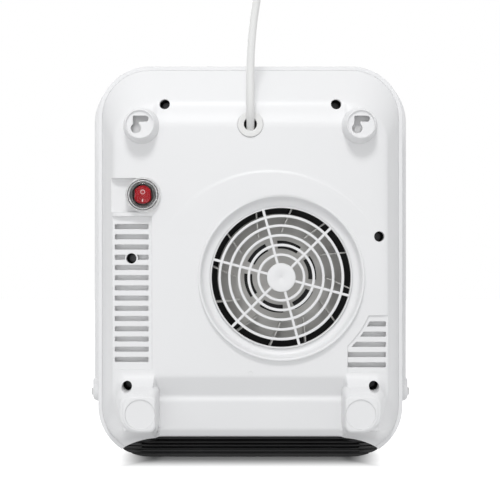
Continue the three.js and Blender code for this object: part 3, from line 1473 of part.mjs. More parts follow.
// ---------------------------------------------------------------- screws

// A pan-head screw along the depth, driven from the back
function backScrew(headStart, length) {
  const seat = headStart + SCREW_HEAD;
  return union(
    bar(0, 0, headStart, seat, SCREW_HEAD_RADIUS - 0.4, SMALL + 4, SCREW_HEAD_RADIUS),
    bar(0, 0, seat, seat + length, SCREW_RADIUS, SMALL),
  );
}

// The same screw driven from the front
function frontScrew(seat, length) {
  return union(
    bar(0, 0, seat - length, seat, SCREW_RADIUS, SMALL),
    bar(0, 0, seat, seat + SCREW_HEAD, SCREW_HEAD_RADIUS, SMALL + 4, SCREW_HEAD_RADIUS - 0.4),
  );
}

const motorScrew = () =>
  bar(0, 0, SCROLL_FRONT - SEAT - 1.8, SCROLL_FRONT - SEAT, 3, SMALL).add(
    bar(0, 0, SCROLL_FRONT - SEAT, SCROLL_FRONT + 9, MOTOR_SCREW_RADIUS, SMALL),
  );

// ---------------------------------------------------------------- the assembly

place('rear_cover', rearCover(), whitePlastic);
place('front_shell', frontShell(), whitePlastic);
place('outlet_grille', outletGrille(), blackPlastic);
place('fan_guard', fanGuard(), whitePlastic);

const scroll = scrollPieces();
place('scroll_housing', scroll.housing, blackPlastic);
place('scroll_inlet_plate', scroll.plate, blackPlastic);
place('impeller', impeller(), fanPlastic);
const shaftBack = IMPELLER_PLATE_DEPTH - 5;
const shaftEnd = MOTOR_BACK + MOTOR_LENGTH - 4;
place('motor_shaft', bar(FAN_X, FAN_Y, shaftBack, shaftEnd, SHAFT_RADIUS, SMALL), satinSteel);
place('motor_body', motorBody(), zincSteel);

place('heater_frame', heaterFrame(), mica);
place('heating_element_rear', heatingElement(FRAME_INNER_BACK + SEAT), satinSteel);
const secondElement = FRAME_INNER_BACK + 2 * SEAT + ELEMENT_DEPTH + 1;
place('heating_element_front', heatingElement(secondElement), satinSteel);
const cutoutBack = FRAME_BACK + FRAME_DEPTH + SEAT;
place('thermal_cutout', bar(40, (FRAME_TOP + FRAME_FOOT) / 2, cutoutBack, cutoutBack + 9, 8), zincSteel);

place('switch_housing', switchHousing(), blackPlastic);
place('switch_rocker', rocker(), redPlastic);
place('switch_boot', switchBoot(), clearRubber);

place('selector_switch_body', controlBody(-KNOB_X), greyPlastic);
place('selector_spindle', spindle(-KNOB_X), satinSteel);
place('selector_knob', knob(-KNOB_X), whitePlastic);
place('thermostat_body', controlBody(KNOB_X), greyPlastic);
place('thermostat_spindle', spindle(KNOB_X), satinSteel);
place('thermostat_knob', knob(KNOB_X), whitePlastic);
place('pilot_lens', pilotLens(), redPlastic);

place('towel_rail', towelRail(), whitePlastic);
place('rail_knuckle_left', knuckle(), whitePlastic);
place('rail_knuckle_right', mirrored(knuckle()), whitePlastic);
place('rail_pin_left', pivotPin(), satinSteel);
place('rail_pin_right', mirrored(pivotPin()), satinSteel);

place('cord_gland', cordGland(), whitePlastic);
place('cord_clamp', cordClamp(), whitePlastic);
place('terminal_block', terminalBlock(), whitePlastic);
place('mains_cord', cordTube(CORD_ROUTE), cordPlastic);
place('mains_cord_coil', coilTube(COIL_PATH), cordPlastic);
place('cord_tie', cordTie(), blackPlastic);
place('plug_body', plugBody(), cordPlastic);
place('plug_pin_upper', plugPin(1), satinSteel);
place('plug_pin_lower', plugPin(-1), satinSteel);

const coverScrew = backScrew(WELL_DEPTH - SEAT - SCREW_HEAD, SCREW_LENGTH);
WELLS.forEach(([x, y], i) => {
  place(`cover_screw_${i + 1}`, coverScrew, zincSteel).position.set(x, y, 0);
});
const earSeat = SCROLL_BACK + SCROLL_WALL + 2 * SEAT + EAR_HEIGHT;
const earScrew = frontScrew(earSeat, earSeat - SCROLL_BACK + 7);
scrollEars.forEach(([x, y], i) => {
  place(`scroll_screw_${i + 1}`, earScrew, zincSteel).position.set(x, y, 0);
});
motorScrews.forEach(([x, y], i) => {
  place(`motor_screw_${i + 1}`, motorScrew(), zincSteel).position.set(x, y, 0);
});
place('clamp_screw_left', clampScrew(1), zincSteel);
place('clamp_screw_right', clampScrew(-1), zincSteel);

export default heater;
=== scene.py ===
import math

import bmesh
import bpy
import numpy as np
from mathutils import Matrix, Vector


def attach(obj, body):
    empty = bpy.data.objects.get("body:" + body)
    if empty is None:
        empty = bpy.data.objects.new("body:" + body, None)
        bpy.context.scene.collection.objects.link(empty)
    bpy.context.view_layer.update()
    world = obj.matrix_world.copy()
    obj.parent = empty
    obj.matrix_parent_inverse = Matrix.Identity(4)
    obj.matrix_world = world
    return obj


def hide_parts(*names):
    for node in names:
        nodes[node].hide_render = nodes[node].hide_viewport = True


# A bathroom fan heater seen from the back. Lengths below are in millimetres as x across,
# y up and depth from the wall, and at() turns them into the frame's metres.
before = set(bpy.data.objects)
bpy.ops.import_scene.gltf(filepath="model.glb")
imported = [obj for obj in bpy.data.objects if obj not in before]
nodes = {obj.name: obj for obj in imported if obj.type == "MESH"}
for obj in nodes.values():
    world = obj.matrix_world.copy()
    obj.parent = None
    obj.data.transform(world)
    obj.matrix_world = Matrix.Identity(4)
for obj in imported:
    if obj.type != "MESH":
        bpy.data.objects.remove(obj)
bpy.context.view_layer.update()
MM = 0.001


def at(x, y, depth):
    return (x * MM, -depth * MM, y * MM)


# ---------------- camera
# Square on to the wall side, 10 mm above the middle of the body. At the wall it sees
# HALF_FRAME to each side.
CAMERA_DISTANCE = 0.9
CAMERA_X, CAMERA_HEIGHT = 0.00034, -0.1122
HALF_FRAME = 0.2125
SENSOR = 36
camera_data = bpy.data.cameras.new("camera")
camera_data.sensor_width = SENSOR
camera_data.lens = SENSOR / 2 * CAMERA_DISTANCE / HALF_FRAME
camera_data.clip_start = 0.01
camera = bpy.data.objects.new("camera", camera_data)
bpy.context.collection.objects.link(camera)
camera.location = (CAMERA_X, CAMERA_DISTANCE, CAMERA_HEIGHT)
camera.rotation_euler = (math.pi / 2, 0, math.pi)
bpy.context.scene.camera = camera

# ---------------- mains lead
# A round lead in a white PVC sheath, clamped inside the body. It leaves through the gland,
# runs up the wall and goes round in a flat coil that is put away above the view.
GRAIN_SCALE = 900.0


def fed(tree, node, inputs):
    """Sets a node's inputs to plain values, or feeds them from sockets."""
    for label, value in inputs.items():
        if isinstance(value, bpy.types.NodeSocket):
            tree.links.new(value, node.inputs[label])
        else:
            node.inputs[label].default_value = value
    return node


def new_node(tree, kind, inputs=None):
    return fed(tree, tree.nodes.new("ShaderNode" + kind), inputs or {})


def new_paint(name):
    """A material, its node tree and its shader."""
    material = bpy.data.materials.new(name)
    material.use_nodes = True
    return material, material.node_tree, material.node_tree.nodes["Principled BSDF"]


def moulded(name, colour, roughness, grain=0.02, drift=0.03, edge=0.0005, scale=GRAIN_SCALE,
            shine=0.5):
    """Plastic with a faint grain in the bump, a faint drift in the tone, and edges that
    catch light as a moulding's rounded edges do."""
    material, tree, shader = new_paint(name)
    place = new_node(tree, "TexCoord").outputs["Object"]
    fine = new_node(tree, "TexNoise", {"Scale": scale, "Detail": 3, "Vector": place})
    broad = new_node(tree, "TexNoise", {"Scale": 14, "Vector": place})
    ramp = new_node(tree, "ValToRGB", {"Fac": broad.outputs["Fac"]})
    low = [c * (1 - drift) for c in colour]
    for stop, position, tone in zip(ramp.color_ramp.elements, (0.35, 0.65), (low, colour)):
        stop.position = position
        stop.color = (*tone, 1)
    bump = new_node(tree, "Bump", {
        "Strength": grain, "Distance": 0.0002, "Height": fine.outputs["Fac"],
    })
    if edge:
        rounded = new_node(tree, "Bevel", {"Radius": edge})
        rounded.samples = 4
        fed(tree, bump, {"Normal": rounded.outputs["Normal"]})
    fed(tree, shader, {
        "Roughness": roughness, "Specular IOR Level": shine,
        "Base Color": ramp.outputs["Color"], "Normal": bump.outputs["Normal"],
    })
    return material


cord_white = moulded("lead sheath", (0.76, 0.76, 0.75), 0.38, grain=0.05, edge=0, scale=500)
LEAD = 6.8
LEAD_EXIT = (0, -3.4, 14.5)
ROUTE = (
    (0, -30, 25.1), (0, -24.8, 25.1), (0, -14.9, 23.1), (0, -6.4, 17.5), (0, -1.9, 13),
    (0, 6.6, 7.4), (0, 16.5, 5.4), (0, 40, 5.4), (-0.6, 60, 5.4), (-2.5, 82, 5.4),
    (-5.2, 101, 5.4), (-8.8, 128.6, 5.4), (-12.2, 154.5, 5.4), (-12.59, 157.48, 5.4),
)
COIL_CENTRE = (-62.3, 158.1)
COIL_START, COIL_TURNS, COIL_OUTER, COIL_PITCH, COIL_DEPTH = 7.5, 5.229, 49.2, 8.0, 5.4
COIL_STEPS = 360
TAIL = 12
LEAD_IN_PLUG = 3


def smooth_route(points, per_span=8):
    """A centripetal curve through the points."""
    pts = [np.array(p, float) for p in points]
    pts = [2 * pts[0] - pts[1], *pts, 2 * pts[-1] - pts[-2]]
    out = []
    for k in range(1, len(pts) - 2):
        p = pts[k - 1 : k + 3]
        t = [0.0]
        for a, b in zip(p, p[1:]):
            t.append(t[-1] + math.sqrt(np.linalg.norm(b - a)))
        for i in range(per_span):
            u = t[1] + (t[2] - t[1]) * i / per_span
            a1 = ((t[1] - u) * p[0] + (u - t[0]) * p[1]) / (t[1] - t[0])
            a2 = ((t[2] - u) * p[1] + (u - t[1]) * p[2]) / (t[2] - t[1])
            a3 = ((t[3] - u) * p[2] + (u - t[2]) * p[3]) / (t[3] - t[2])
            b1 = ((t[2] - u) * a1 + (u - t[0]) * a2) / (t[2] - t[0])
            b2 = ((t[3] - u) * a2 + (u - t[1]) * a3) / (t[3] - t[1])
            out.append(((t[2] - u) * b1 + (u - t[1]) * b2) / (t[2] - t[1]))
    return out


lead_points = smooth_route(ROUTE)
# The coil spirals in, climbs one layer where it turns back, and spirals out again.
for i in range(COIL_STEPS + 1):
    turn = i / COIL_STEPS * COIL_TURNS
    half = COIL_TURNS / 2
    radius = COIL_OUTER - half * COIL_PITCH + COIL_PITCH * abs(turn - half)
    climb = min(1, max(0, (turn - half) * 2 + 0.5))
    angle = math.radians(COIL_START) + turn * 2 * math.pi
    lead_points.append((
        COIL_CENTRE[0] + radius * math.cos(angle),
        COIL_CENTRE[1] + radius * math.sin(angle),
        COIL_DEPTH + COIL_PITCH * climb * climb * (3 - 2 * climb),
    ))
COIL_END = lead_points[-1]
lead_points.append((COIL_END[0] - TAIL - LEAD_IN_PLUG, COIL_END[1], COIL_END[2]))
lead_data = bpy.data.curves.new("mains_lead", "CURVE")
lead_data.dimensions = "3D"
lead_data.bevel_depth = LEAD / 2 * MM
lead_data.bevel_resolution = 7
lead_data.use_fill_caps = True
spline = lead_data.splines.new("POLY")
spline.points.add(len(lead_points) - 1)
for point, place in zip(spline.points, lead_points):
    point.co = (*at(*place), 1)
spline.use_smooth = True
lead_data.materials.append(cord_white)
lead = bpy.data.objects.new("mains_lead", lead_data)
bpy.context.collection.objects.link(lead)
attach(lead, "heater_body")
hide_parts("mains_cord", "mains_cord_coil")


# ---------------- plug
# White PVC moulded on to the lead's end: a waisted body that narrows to a ribbed neck, with
# two plated pins. A black tie holds the coil.
def mesh_object(name, vertices, faces, material, smooth=30):
    mesh = bpy.data.meshes.new(name)
    mesh.from_pydata([at(*v) for v in vertices], [], faces)
    mesh.materials.append(material)
    piece = bpy.data.objects.new(name, mesh)
    bpy.context.collection.objects.link(piece)
    solid = bmesh.new()
    solid.from_mesh(mesh)
    bmesh.ops.recalc_face_normals(solid, faces=solid.faces)
    solid.to_mesh(mesh)
    solid.free()
    if smooth:
        mesh.shade_smooth()
        mesh.set_sharp_from_angle(angle=math.radians(smooth))
    return piece


def ring(left, right, bottom, top, radii, steps=24):
    """A rectangle's outline with its corners rounded."""
    corners = ((right, top, -1, -1), (left, top, 1, -1), (left, bottom, 1, 1),
               (right, bottom, -1, 1))
    points = []
    for k, (x, y, in_x, in_y) in enumerate(corners):
        for i in range(steps + 1):
            turn = math.pi / 2 * (k + i / steps)
            r = radii[k]
            points.append((x + in_x * r + r * math.cos(turn), y + in_y * r + r * math.sin(turn)))
    return points


def loft(name, sections, material, smooth=30):
    """A closed solid through sections that have the same number of points."""
    count = len(sections[0])
    vertices = [v for section in sections for v in section]
    faces = [list(range(count))[::-1], [len(vertices) - count + i for i in range(count)]]
    for s in range(len(sections) - 1):
        for i in range(count):
            j = (i + 1) % count
            a, b = s * count, (s + 1) * count
            faces.append([a + i, a + j, b + j, b + i])
    return mesh_object(name, vertices, faces, material, smooth)


SEAT_GAP = 0.3
PLUG_BACK = COIL_END[0] - TAIL - SEAT_GAP
PLUG_NECK, PLUG_BODY = 18, 40
PLUG_WIDE, PLUG_THICK = 35.5, 26
PLUG_FRONT = PLUG_BACK - PLUG_NECK - PLUG_BODY
NECK_RIBS, NECK_STEPS = 3, 24


def plug_section(x, wide, thick):
    corner = min(wide, thick) / 2 - 0.1
    outline = ring(-wide / 2, wide / 2, -thick / 2, thick / 2, [corner] * 4, 8)
    return [(x, COIL_END[1] + a, COIL_END[2] + b) for a, b in outline]


# Share of the body's length, of its width and of its thickness.
PLUG_SHAPE = [(0, 0.93, 0.92), (0.02, 0.985, 0.98), (0.05, 1, 1), (0.35, 1, 1), (0.45, 0.99, 0.99),
              (0.55, 0.95, 0.96), (0.65, 0.88, 0.9), (0.75, 0.77, 0.84), (0.85, 0.63, 0.74),
              (0.93, 0.5, 0.63), (1, 0.42, 0.55)]
plug_sections = []
for along, wide, thick in PLUG_SHAPE:
    place = PLUG_FRONT + along * PLUG_BODY
    plug_sections.append(plug_section(place, wide * PLUG_WIDE, thick * PLUG_THICK))
for i in range(1, NECK_STEPS + 1):
    rib = 0.5 - 0.5 * math.cos(2 * math.pi * i / NECK_STEPS * NECK_RIBS)
    size = 8.6 + 2.1 * rib - 0.03 * i
    place = PLUG_FRONT + PLUG_BODY + PLUG_NECK * i / NECK_STEPS
    plug_sections.append(plug_section(place, size, size))
plug = loft("plug", plug_sections, cord_white, 50)
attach(plug, "heater_body")
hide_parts("plug_body")
BRUSHING = (40, 40, 2500)


def metal(name, colour, roughness, brushed=0.0):
    material = moulded(name, colour, roughness, grain=0.03 + brushed, drift=0.06, edge=0.0002)
    tree = material.node_tree
    place = [n for n in tree.nodes if n.type == "TEX_COORD"][0]
    fine = [n for n in tree.nodes if n.type == "TEX_NOISE"][0]
    stretch = new_node(tree, "Mapping", {
        "Scale": [s / GRAIN_SCALE for s in BRUSHING], "Vector": place.outputs["Object"],
    })
    fed(tree, fine, {"Vector": stretch.outputs["Vector"]})
    fed(tree, tree.nodes["Principled BSDF"], {"Metallic": 1.0})
    return material


def finish(material, *names):
    """Paints pieces that are carried over from the frame."""
    for name in names:
        for slot in nodes[name].material_slots:
            slot.material = material


black = moulded("black moulding", (0.026, 0.026, 0.027), 0.42, grain=0.08, drift=0.2,
                edge=0.0004, shine=0.3)
steel = metal("satin steel", (0.62, 0.62, 0.63), 0.32, brushed=0.03)
finish(black, "cord_tie")
finish(steel, "plug_pin_upper", "plug_pin_lower")

# ---------------- rear cover
# A white moulded shell whose dished sides run in from the rim to a rounded shoulder. Its
# face is one surface: a panel that leans back to its foot, a ledge over it, a toe band
# under it and a shallow dome round the fan. Six deep screws hold it to the front shell.
white = moulded("white moulding", (0.80, 0.80, 0.805), 0.42, grain=0.03, drift=0.012, edge=0.0007)
# Near black: the scroll's own colour, and on the screw tubes a painted shade for the deep wells.
near_black_and_well_shade = moulded("dark inner moulding", (0.012, 0.012, 0.013), 0.6, grain=0.08, drift=0.2, edge=0)
HALF, TOP, BOTTOM, CORNER = 136.5, 52.3, -298.0, 46.0
RIM, SHOULDER, CROWN = 50.0, 22.0, 14.0
RIM_INSET = 3.6
SIDE_RUN, TOP_RUN, BOTTOM_RUN, BOTTOM_SHOULDER = 12.3, 29.7, 17.1, 34.0
SHOULDER_ROUND = 12
LEAST_CORNER = 8


def back_outline(depth, inwards=0.0):
    """Half width, bottom, top and corner radius of the back half at a depth."""
    depth = np.minimum(depth, RIM)
    rounding = SHOULDER_ROUND * (np.maximum(0, SHOULDER - depth) / (SHOULDER - CROWN)) ** 3
    side = SIDE_RUN / (RIM - SHOULDER) * (RIM - depth) + rounding
    top = TOP_RUN / (RIM - SHOULDER) * (RIM - depth) + rounding
    foot = BOTTOM_RUN * np.minimum(1, (RIM - depth) / (RIM - BOTTOM_SHOULDER))
    half = HALF - RIM_INSET - side - inwards
    radius = np.maximum(CORNER - RIM_INSET - 0.45 * side - inwards, LEAST_CORNER)
    bottom = BOTTOM + RIM_INSET + foot + 0.5 * np.maximum(0, BOTTOM_SHOULDER - depth) + inwards
    upper = TOP - RIM_INSET - top - inwards
    return half, bottom, upper, radius


def past_outline(x, y, outline):
    """How far a point is outside a rounded outline; negative inside it."""
    half, bottom, upper, radius = outline
    over_x = np.abs(x) - half + radius
    over_y = np.abs(y - (bottom + upper) / 2) - (upper - bottom) / 2 + radius
    outside = np.hypot(np.maximum(over_x, 0), np.maximum(over_y, 0))
    return outside + np.minimum(np.maximum(over_x, over_y), 0) - radius


def eased(line, y, reach):
    """A broken line of (y, depth), averaged over a short reach so that it bends softly."""
    offsets = np.linspace(-reach, reach, 7)
    return sum(np.interp(y + o, line[:, 0], line[:, 1]) for o in offsets) / len(offsets)


def soft_max(a, b, k):
    h = np.maximum(k - np.abs(a - b), 0) / k
    return np.maximum(a, b) + h * h * k / 4


def soft_step(x, start, end):
    t = np.clip((x - start) / (end - start), 0, 1)
    return t * t * (3 - 2 * t)


FAN = (-26.9, -136.2)
PANEL_TOP, PANEL_DEPTH, PANEL_FALL, PANEL_LENGTH = -3, 15, 6, 223
LEDGE_LINE = np.array([(-400, 0), (-5, 15), (7, 18.2), (17.5, 19.3), (60, 19.3)], float)
TOE_LINE = np.array([(-330, 62), (-277, 35.5), (-270, 31.2), (-244.4, 28.4), (-240.8, 30.2),
                     (-222.5, 21), (100, 0)], float)
LEDGE_SOFTNESS, TOE_SOFTNESS = 3.2, 1.3
BAND_HALF, BAND_END = 81.0, 84.5
DOME, DOME_REACH, DOME_DEPTH, DOME_SLOPE = (-17.3, -145), 94, 10, 1.286
DOME_END, CLEAR_OF_FACE = -98, 60
FOOT_INNER, FOOT_OUTER, FOOT_LOW, FOOT_HIGH = 81, 109, -267, -237


def cover_depth(x, y):
    """Depth of the cover's face: the dished back, with the panel, bands, dome and the two
    mounds that carry the wall feet run into it softly."""
    low, high = np.full_like(x, CROWN), np.full_like(x, RIM)
    for _ in range(26):
        mid = (low + high) / 2
        inside = past_outline(x, y, back_outline(mid)) <= 0
        high = np.where(inside, mid, high)
        low = np.where(inside, low, mid)
    panel = PANEL_DEPTH + (PANEL_TOP - y) * PANEL_FALL / PANEL_LENGTH
    ledge = eased(LEDGE_LINE, y, LEDGE_SOFTNESS)
    toe = eased(TOE_LINE, y, TOE_SOFTNESS)
    between = 1 - soft_step(np.abs(x), BAND_HALF, BAND_END)
    face = panel + between * (np.maximum(np.maximum(ledge, toe), panel) - panel)
    from_dome = np.hypot(x - DOME[0], y - DOME[1])
    dome = np.maximum(14.9 + (-45 - y) * 0.051, DOME_DEPTH + (from_dome - DOME_REACH) / DOME_SLOPE)
    dome = np.where(y < DOME_END, CLEAR_OF_FACE, dome)
    face = -soft_max(-face, -dome, 0.5)
    surface = soft_max(high, face, 4.0)
    wide = np.abs(x)
    off_x = 1.9 * np.maximum(wide - FOOT_OUTER, 0) + 12 * np.maximum(FOOT_INNER + 2.5 - wide, 0)
    off_y = np.maximum(y - FOOT_HIGH, 0) + 2.2 * np.maximum(FOOT_LOW - y, 0)
    mound = 3 + 1.25 * np.hypot(off_x, off_y)
    return -soft_max(-surface, -mound, 6.0)


# The face is a grid of rays from the fan's middle, from the inlet's edge out to the rim.
ANGLES, STATIONS = 520, 133
INLET_EDGE = 71.5
theta = np.linspace(0, 2 * math.pi, ANGLES, endpoint=False)
ray = np.stack([np.cos(theta), np.sin(theta)], 1)
reach_low, reach_high = np.full(ANGLES, 60.0), np.full(ANGLES, 300.0)
rim_outline = back_outline(RIM)
for _ in range(40):
    middle = (reach_low + reach_high) / 2
    px, py = FAN[0] + middle * ray[:, 0], FAN[1] + middle * ray[:, 1]
    within = past_outline(px, py, rim_outline) <= 0
    reach_low = np.where(within, middle, reach_low)
    reach_high = np.where(within, reach_high, middle)
stations = 1 - (1 - np.linspace(0, 1, STATIONS)) ** 1.12
radii = INLET_EDGE + (reach_low[None, :] - INLET_EDGE) * stations[:, None]
grid_x = FAN[0] + radii * ray[None, :, 0]
grid_y = FAN[1] + radii * ray[None, :, 1]
grid_z = cover_depth(grid_x, grid_y)
grid_z[-1] = RIM
# The inner surface lies a wall behind it, on every fourth ring of the grid.
WALL, INNER_LEAST, INNER_RIM = 2.5, 26.5, 49.0
kept = list(range(0, STATIONS - 1, 4)) + [STATIONS - 2]
under_z = np.maximum(grid_z[kept] + WALL, INNER_LEAST)
under_z[-1] = np.maximum(under_z[-1], INNER_RIM)
vertices = list(zip(grid_x.ravel(), grid_y.ravel(), grid_z.ravel()))
base = len(vertices)
vertices += list(zip(grid_x[kept].ravel(), grid_y[kept].ravel(), under_z.ravel()))
outer, last = (STATIONS - 1) * ANGLES, base + (len(kept) - 1) * ANGLES
faces = []
for s in range(STATIONS - 1):
    for i in range(ANGLES):
        j = (i + 1) % ANGLES
        a, b = s * ANGLES, (s + 1) * ANGLES
        faces.append([a + i, a + j, b + j, b + i])
for s in range(len(kept) - 1):
    for i in range(ANGLES):
        j = (i + 1) % ANGLES
        a, b = base + s * ANGLES, base + (s + 1) * ANGLES
        faces.append([a + j, a + i, b + i, b + j])
for i in range(ANGLES):
    j = (i + 1) % ANGLES
    faces.append([base + i, base + j, j, i])
    faces.append([outer + i, outer + j, last + j, last + i])
cover = mesh_object("rear_cover_face", vertices, faces, white, 32)


def rings_loft(name, levels, material, smooth=30):
    """A loft through outlines that each lie at one depth."""
    sections = [[(x, y, depth) for x, y in points] for depth, points in levels]
    return loft(name, sections, material, smooth)


def block(name, x0, x1, y0, y1, z0, z1, material=white):
    levels = [(z, [(x1, y1), (x0, y1), (x0, y0), (x1, y0)]) for z in (z0, z1)]
    return rings_loft(name, levels, material)


def prism(name, outline, z0, z1, material=white):
    return rings_loft(name, [(z0, outline), (z1, outline)], material)


def turned(name, x, y, profile, material, sides=96, smooth=30):
    """A closed profile of (radius, depth) turned about the depth axis."""
    vertices, faces, rows = [], [], []
    for radius, depth in profile:
        if radius == 0:
            rows.append([len(vertices)] * sides)
            vertices.append((x, y, depth))
        else:
            rows.append([len(vertices) + i for i in range(sides)])
            for i in range(sides):
                turn = 2 * math.pi * i / sides
                vertices.append((x + radius * math.cos(turn), y + radius * math.sin(turn), depth))
    closed = profile[0][0] != 0 or profile[-1][0] != 0
    pairs = list(zip(rows, rows[1:])) + ([(rows[-1], rows[0])] if closed else [])
    for low, high in pairs:
        for i in range(sides):
            j = (i + 1) % sides
            corners = [low[i], low[j], high[j], high[i]]
            face = [c for k, c in enumerate(corners) if c not in corners[:k]]
            if len(face) > 2:
                faces.append(face)
    return mesh_object(name, vertices, faces, material, smooth)


def bar(name, x, y, start, end, radius, sides=72):
    profile = [(0, start), (radius, start), (radius, end), (0, end)]
    return turned(name, x, y, profile, white, sides)


def joined(name, pieces):
    """One object from several separate ones."""
    whole = bmesh.new()
    for piece in pieces:
        whole.from_mesh(piece.data)
    mesh = pieces[0].data.copy()
    whole.to_mesh(mesh)
    whole.free()
    mesh.name = name
    for piece in pieces:
        bpy.data.objects.remove(piece, do_unlink=True)
    result = bpy.data.objects.new(name, mesh)
    bpy.context.collection.objects.link(result)
    return result


def settled(piece):
    """Works a piece's modifiers into a plain mesh."""
    bpy.context.view_layer.update()
    live = piece.evaluated_get(bpy.context.evaluated_depsgraph_get())
    shape = bpy.data.meshes.new_from_object(live)
    piece.modifiers.clear()
    old = piece.data
    piece.data = shape
    bpy.data.meshes.remove(old)
    return shape


def carve(piece, operation, tools, smooth=30):
    """Joins, cuts or keeps with each tool in turn, then removes the tools."""
    for tool in tools:
        step = piece.modifiers.new("carve", "BOOLEAN")
        step.operation = operation
        step.solver = "MANIFOLD"
        step.object = tool
    shape = settled(piece)
    for tool in tools:
        bpy.data.objects.remove(tool, do_unlink=True)
    shape.shade_smooth()
    shape.set_sharp_from_angle(angle=math.radians(smooth))


# Wall feet, hanging bosses and the switch's collar stand proud of the face.
def pad_level(along, side):
    spread = 10.5 * along**0.6
    corner_radii = [8 + 7 * along, 6, 6, 14 + 24 * along]
    outline = ring(FOOT_INNER - 2 * along, FOOT_OUTER + spread, FOOT_LOW - 0.37 * spread,
                   FOOT_HIGH + spread, corner_radii, 12)
    points = [(side * x, y) for x, y in outline]
    return points if side > 0 else points[::-1]


FOOT_CENTRE = (95, -252)
FOOT_RISE, FOOT_ROOT, FOOT_END = 24, 0.55, 30


def wall_foot(side):
    levels = []
    for depth, part in ((0.0, 0.93), (0.1, 0.95), (0.35, 0.97), (0.75, 0.988)):
        middle_x, middle_y = side * FOOT_CENTRE[0] * (1 - part), FOOT_CENTRE[1] * (1 - part)
        levels.append((depth, [(middle_x + x * part, middle_y + y * part)
                               for x, y in pad_level(0, side)]))
    levels += [(FOOT_RISE * a, pad_level(a, side)) for a in (0.05, 0.12, 0.2, 0.3, 0.42, FOOT_ROOT)]
    levels.append((FOOT_END, pad_level(FOOT_ROOT, side)))
    return rings_loft("foot", levels, white)


HANGER = (94.3, -4.9)
BOSS_PROFILE = [(0, 0), (12.0, 0), (12.4, 0.3), (12.6, 0.9), (16.5, 22), (17, 26), (0, 26)]
SWITCH = (92.8, -64.5)
carve(cover, "UNION", [
    *[wall_foot(side) for side in (1, -1)],
    *[turned("boss", side * HANGER[0], HANGER[1], BOSS_PROFILE, white) for side in (1, -1)],
    bar("boss", *SWITCH, 14.5, 26, 15.3, sides=128),
])

# What repeats at an even step, or at an even turn about the depth axis, is laid out by
# one tree of geometry nodes. The vents' slots are the first to need it.
row_tree = bpy.data.node_groups.new("even row", "GeometryNodeTree")
for label, kind in (("Piece", "Geometry"), ("Count", "Int"), ("Start", "Vector"),
                    ("Step", "Vector"), ("Turn", "Float"), ("Material", "Material")):
    row_tree.interface.new_socket(label, in_out="INPUT", socket_type="NodeSocket" + kind)
row_tree.interface.new_socket("Row", in_out="OUTPUT", socket_type="NodeSocketGeometry")
given = row_tree.nodes.new("NodeGroupInput")
line_of_points = row_tree.nodes.new("GeometryNodeMeshLine")
order = row_tree.nodes.new("GeometryNodeInputIndex")
turn_so_far = row_tree.nodes.new("ShaderNodeMath")
turn_so_far.operation = "MULTIPLY"
about_depth = row_tree.nodes.new("ShaderNodeCombineXYZ")
placed = row_tree.nodes.new("GeometryNodeInstanceOnPoints")
made_real = row_tree.nodes.new("GeometryNodeRealizeInstances")
painted = row_tree.nodes.new("GeometryNodeSetMaterial")
finished = row_tree.nodes.new("NodeGroupOutput")
for source, socket, target, end in (
    (given, "Count", line_of_points, "Count"),
    (given, "Start", line_of_points, "Start Location"),
    (given, "Step", line_of_points, "Offset"),
    (order, "Index", turn_so_far, 0),
    (given, "Turn", turn_so_far, 1),
    (turn_so_far, "Value", about_depth, "Y"),
    (line_of_points, "Mesh", placed, "Points"),
    (given, "Piece", placed, "Instance"),
    (about_depth, "Vector", placed, "Rotation"),
    (placed, "Instances", made_real, "Geometry"),
    (made_real, "Geometry", painted, "Geometry"),
    (given, "Material", painted, "Material"),
    (painted, "Geometry", finished, "Row"),
):
    row_tree.links.new(source.outputs[socket], target.inputs[end])


def in_a_row(piece, count, material, start=(0, 0, 0), step=(0, 0, 0), turn=0.0):
    """The piece, repeated by the tree and turned back into a plain mesh."""
    layout = piece.modifiers.new("row", "NODES")
    layout.node_group = row_tree
    sizes = {"Count": count, "Start": at(*start), "Step": at(*step), "Turn": -math.radians(turn),
             "Material": material}
    for socket in row_tree.interface.items_tree:
        if socket.in_out == "INPUT" and socket.name in sizes:
            layout[socket.identifier] = sizes[socket.name]
    settled(piece)
    return piece


# Openings: vents, the switch's pocket, screw wells, keyholes, the lead's hole.
VENT_DEPTH = 21
VENT_SWEEP = 82.7
RIGHT_VENT_LEFT, RIGHT_VENT_TOP, RIGHT_VENT_END, RIGHT_VENT_FOOT = -84.6, -169, -121, -218.7


def right_vent(name, z0, z1, grown=0.0):
    """The recess beside the fan, whose inner edge is an arc about it."""
    sweep = VENT_SWEEP - grown
    rise, across = RIGHT_VENT_TOP - FAN[1], RIGHT_VENT_LEFT - FAN[0]
    first = math.atan2(rise, -math.sqrt(sweep**2 - rise**2)) % (2 * math.pi)
    final = math.atan2(-math.sqrt(sweep**2 - across**2), across) % (2 * math.pi)
    arc = []
    for i in range(33):
        turn = first + (final - first) * i / 32
        arc.append((FAN[0] + sweep * math.cos(turn), FAN[1] + sweep * math.sin(turn)))
    outline = [(RIGHT_VENT_END, RIGHT_VENT_FOOT), (RIGHT_VENT_END, RIGHT_VENT_TOP), *arc,
               (RIGHT_VENT_LEFT, RIGHT_VENT_FOOT)]
    return prism(name, outline, z0, z1)


SLOT_HEIGHT, SLOT_PITCH = 4.3, 8.89
WELLS = ((74.5, 14.5), (-74.5, 14.5), (103.6, -119.5), (-111.8, -100.5), (106.6, -230),
         (-106.6, -230))
VENT_WELL = WELLS[2]
WELL_BORE, WELL_TUBE = 4.5, 5.7


def rounded_slot(x0, x1, top):
    outline = ring(x0, x1, top - SLOT_HEIGHT, top, [0.8] * 4, 3)
    return prism("slot", outline, -5, 27)


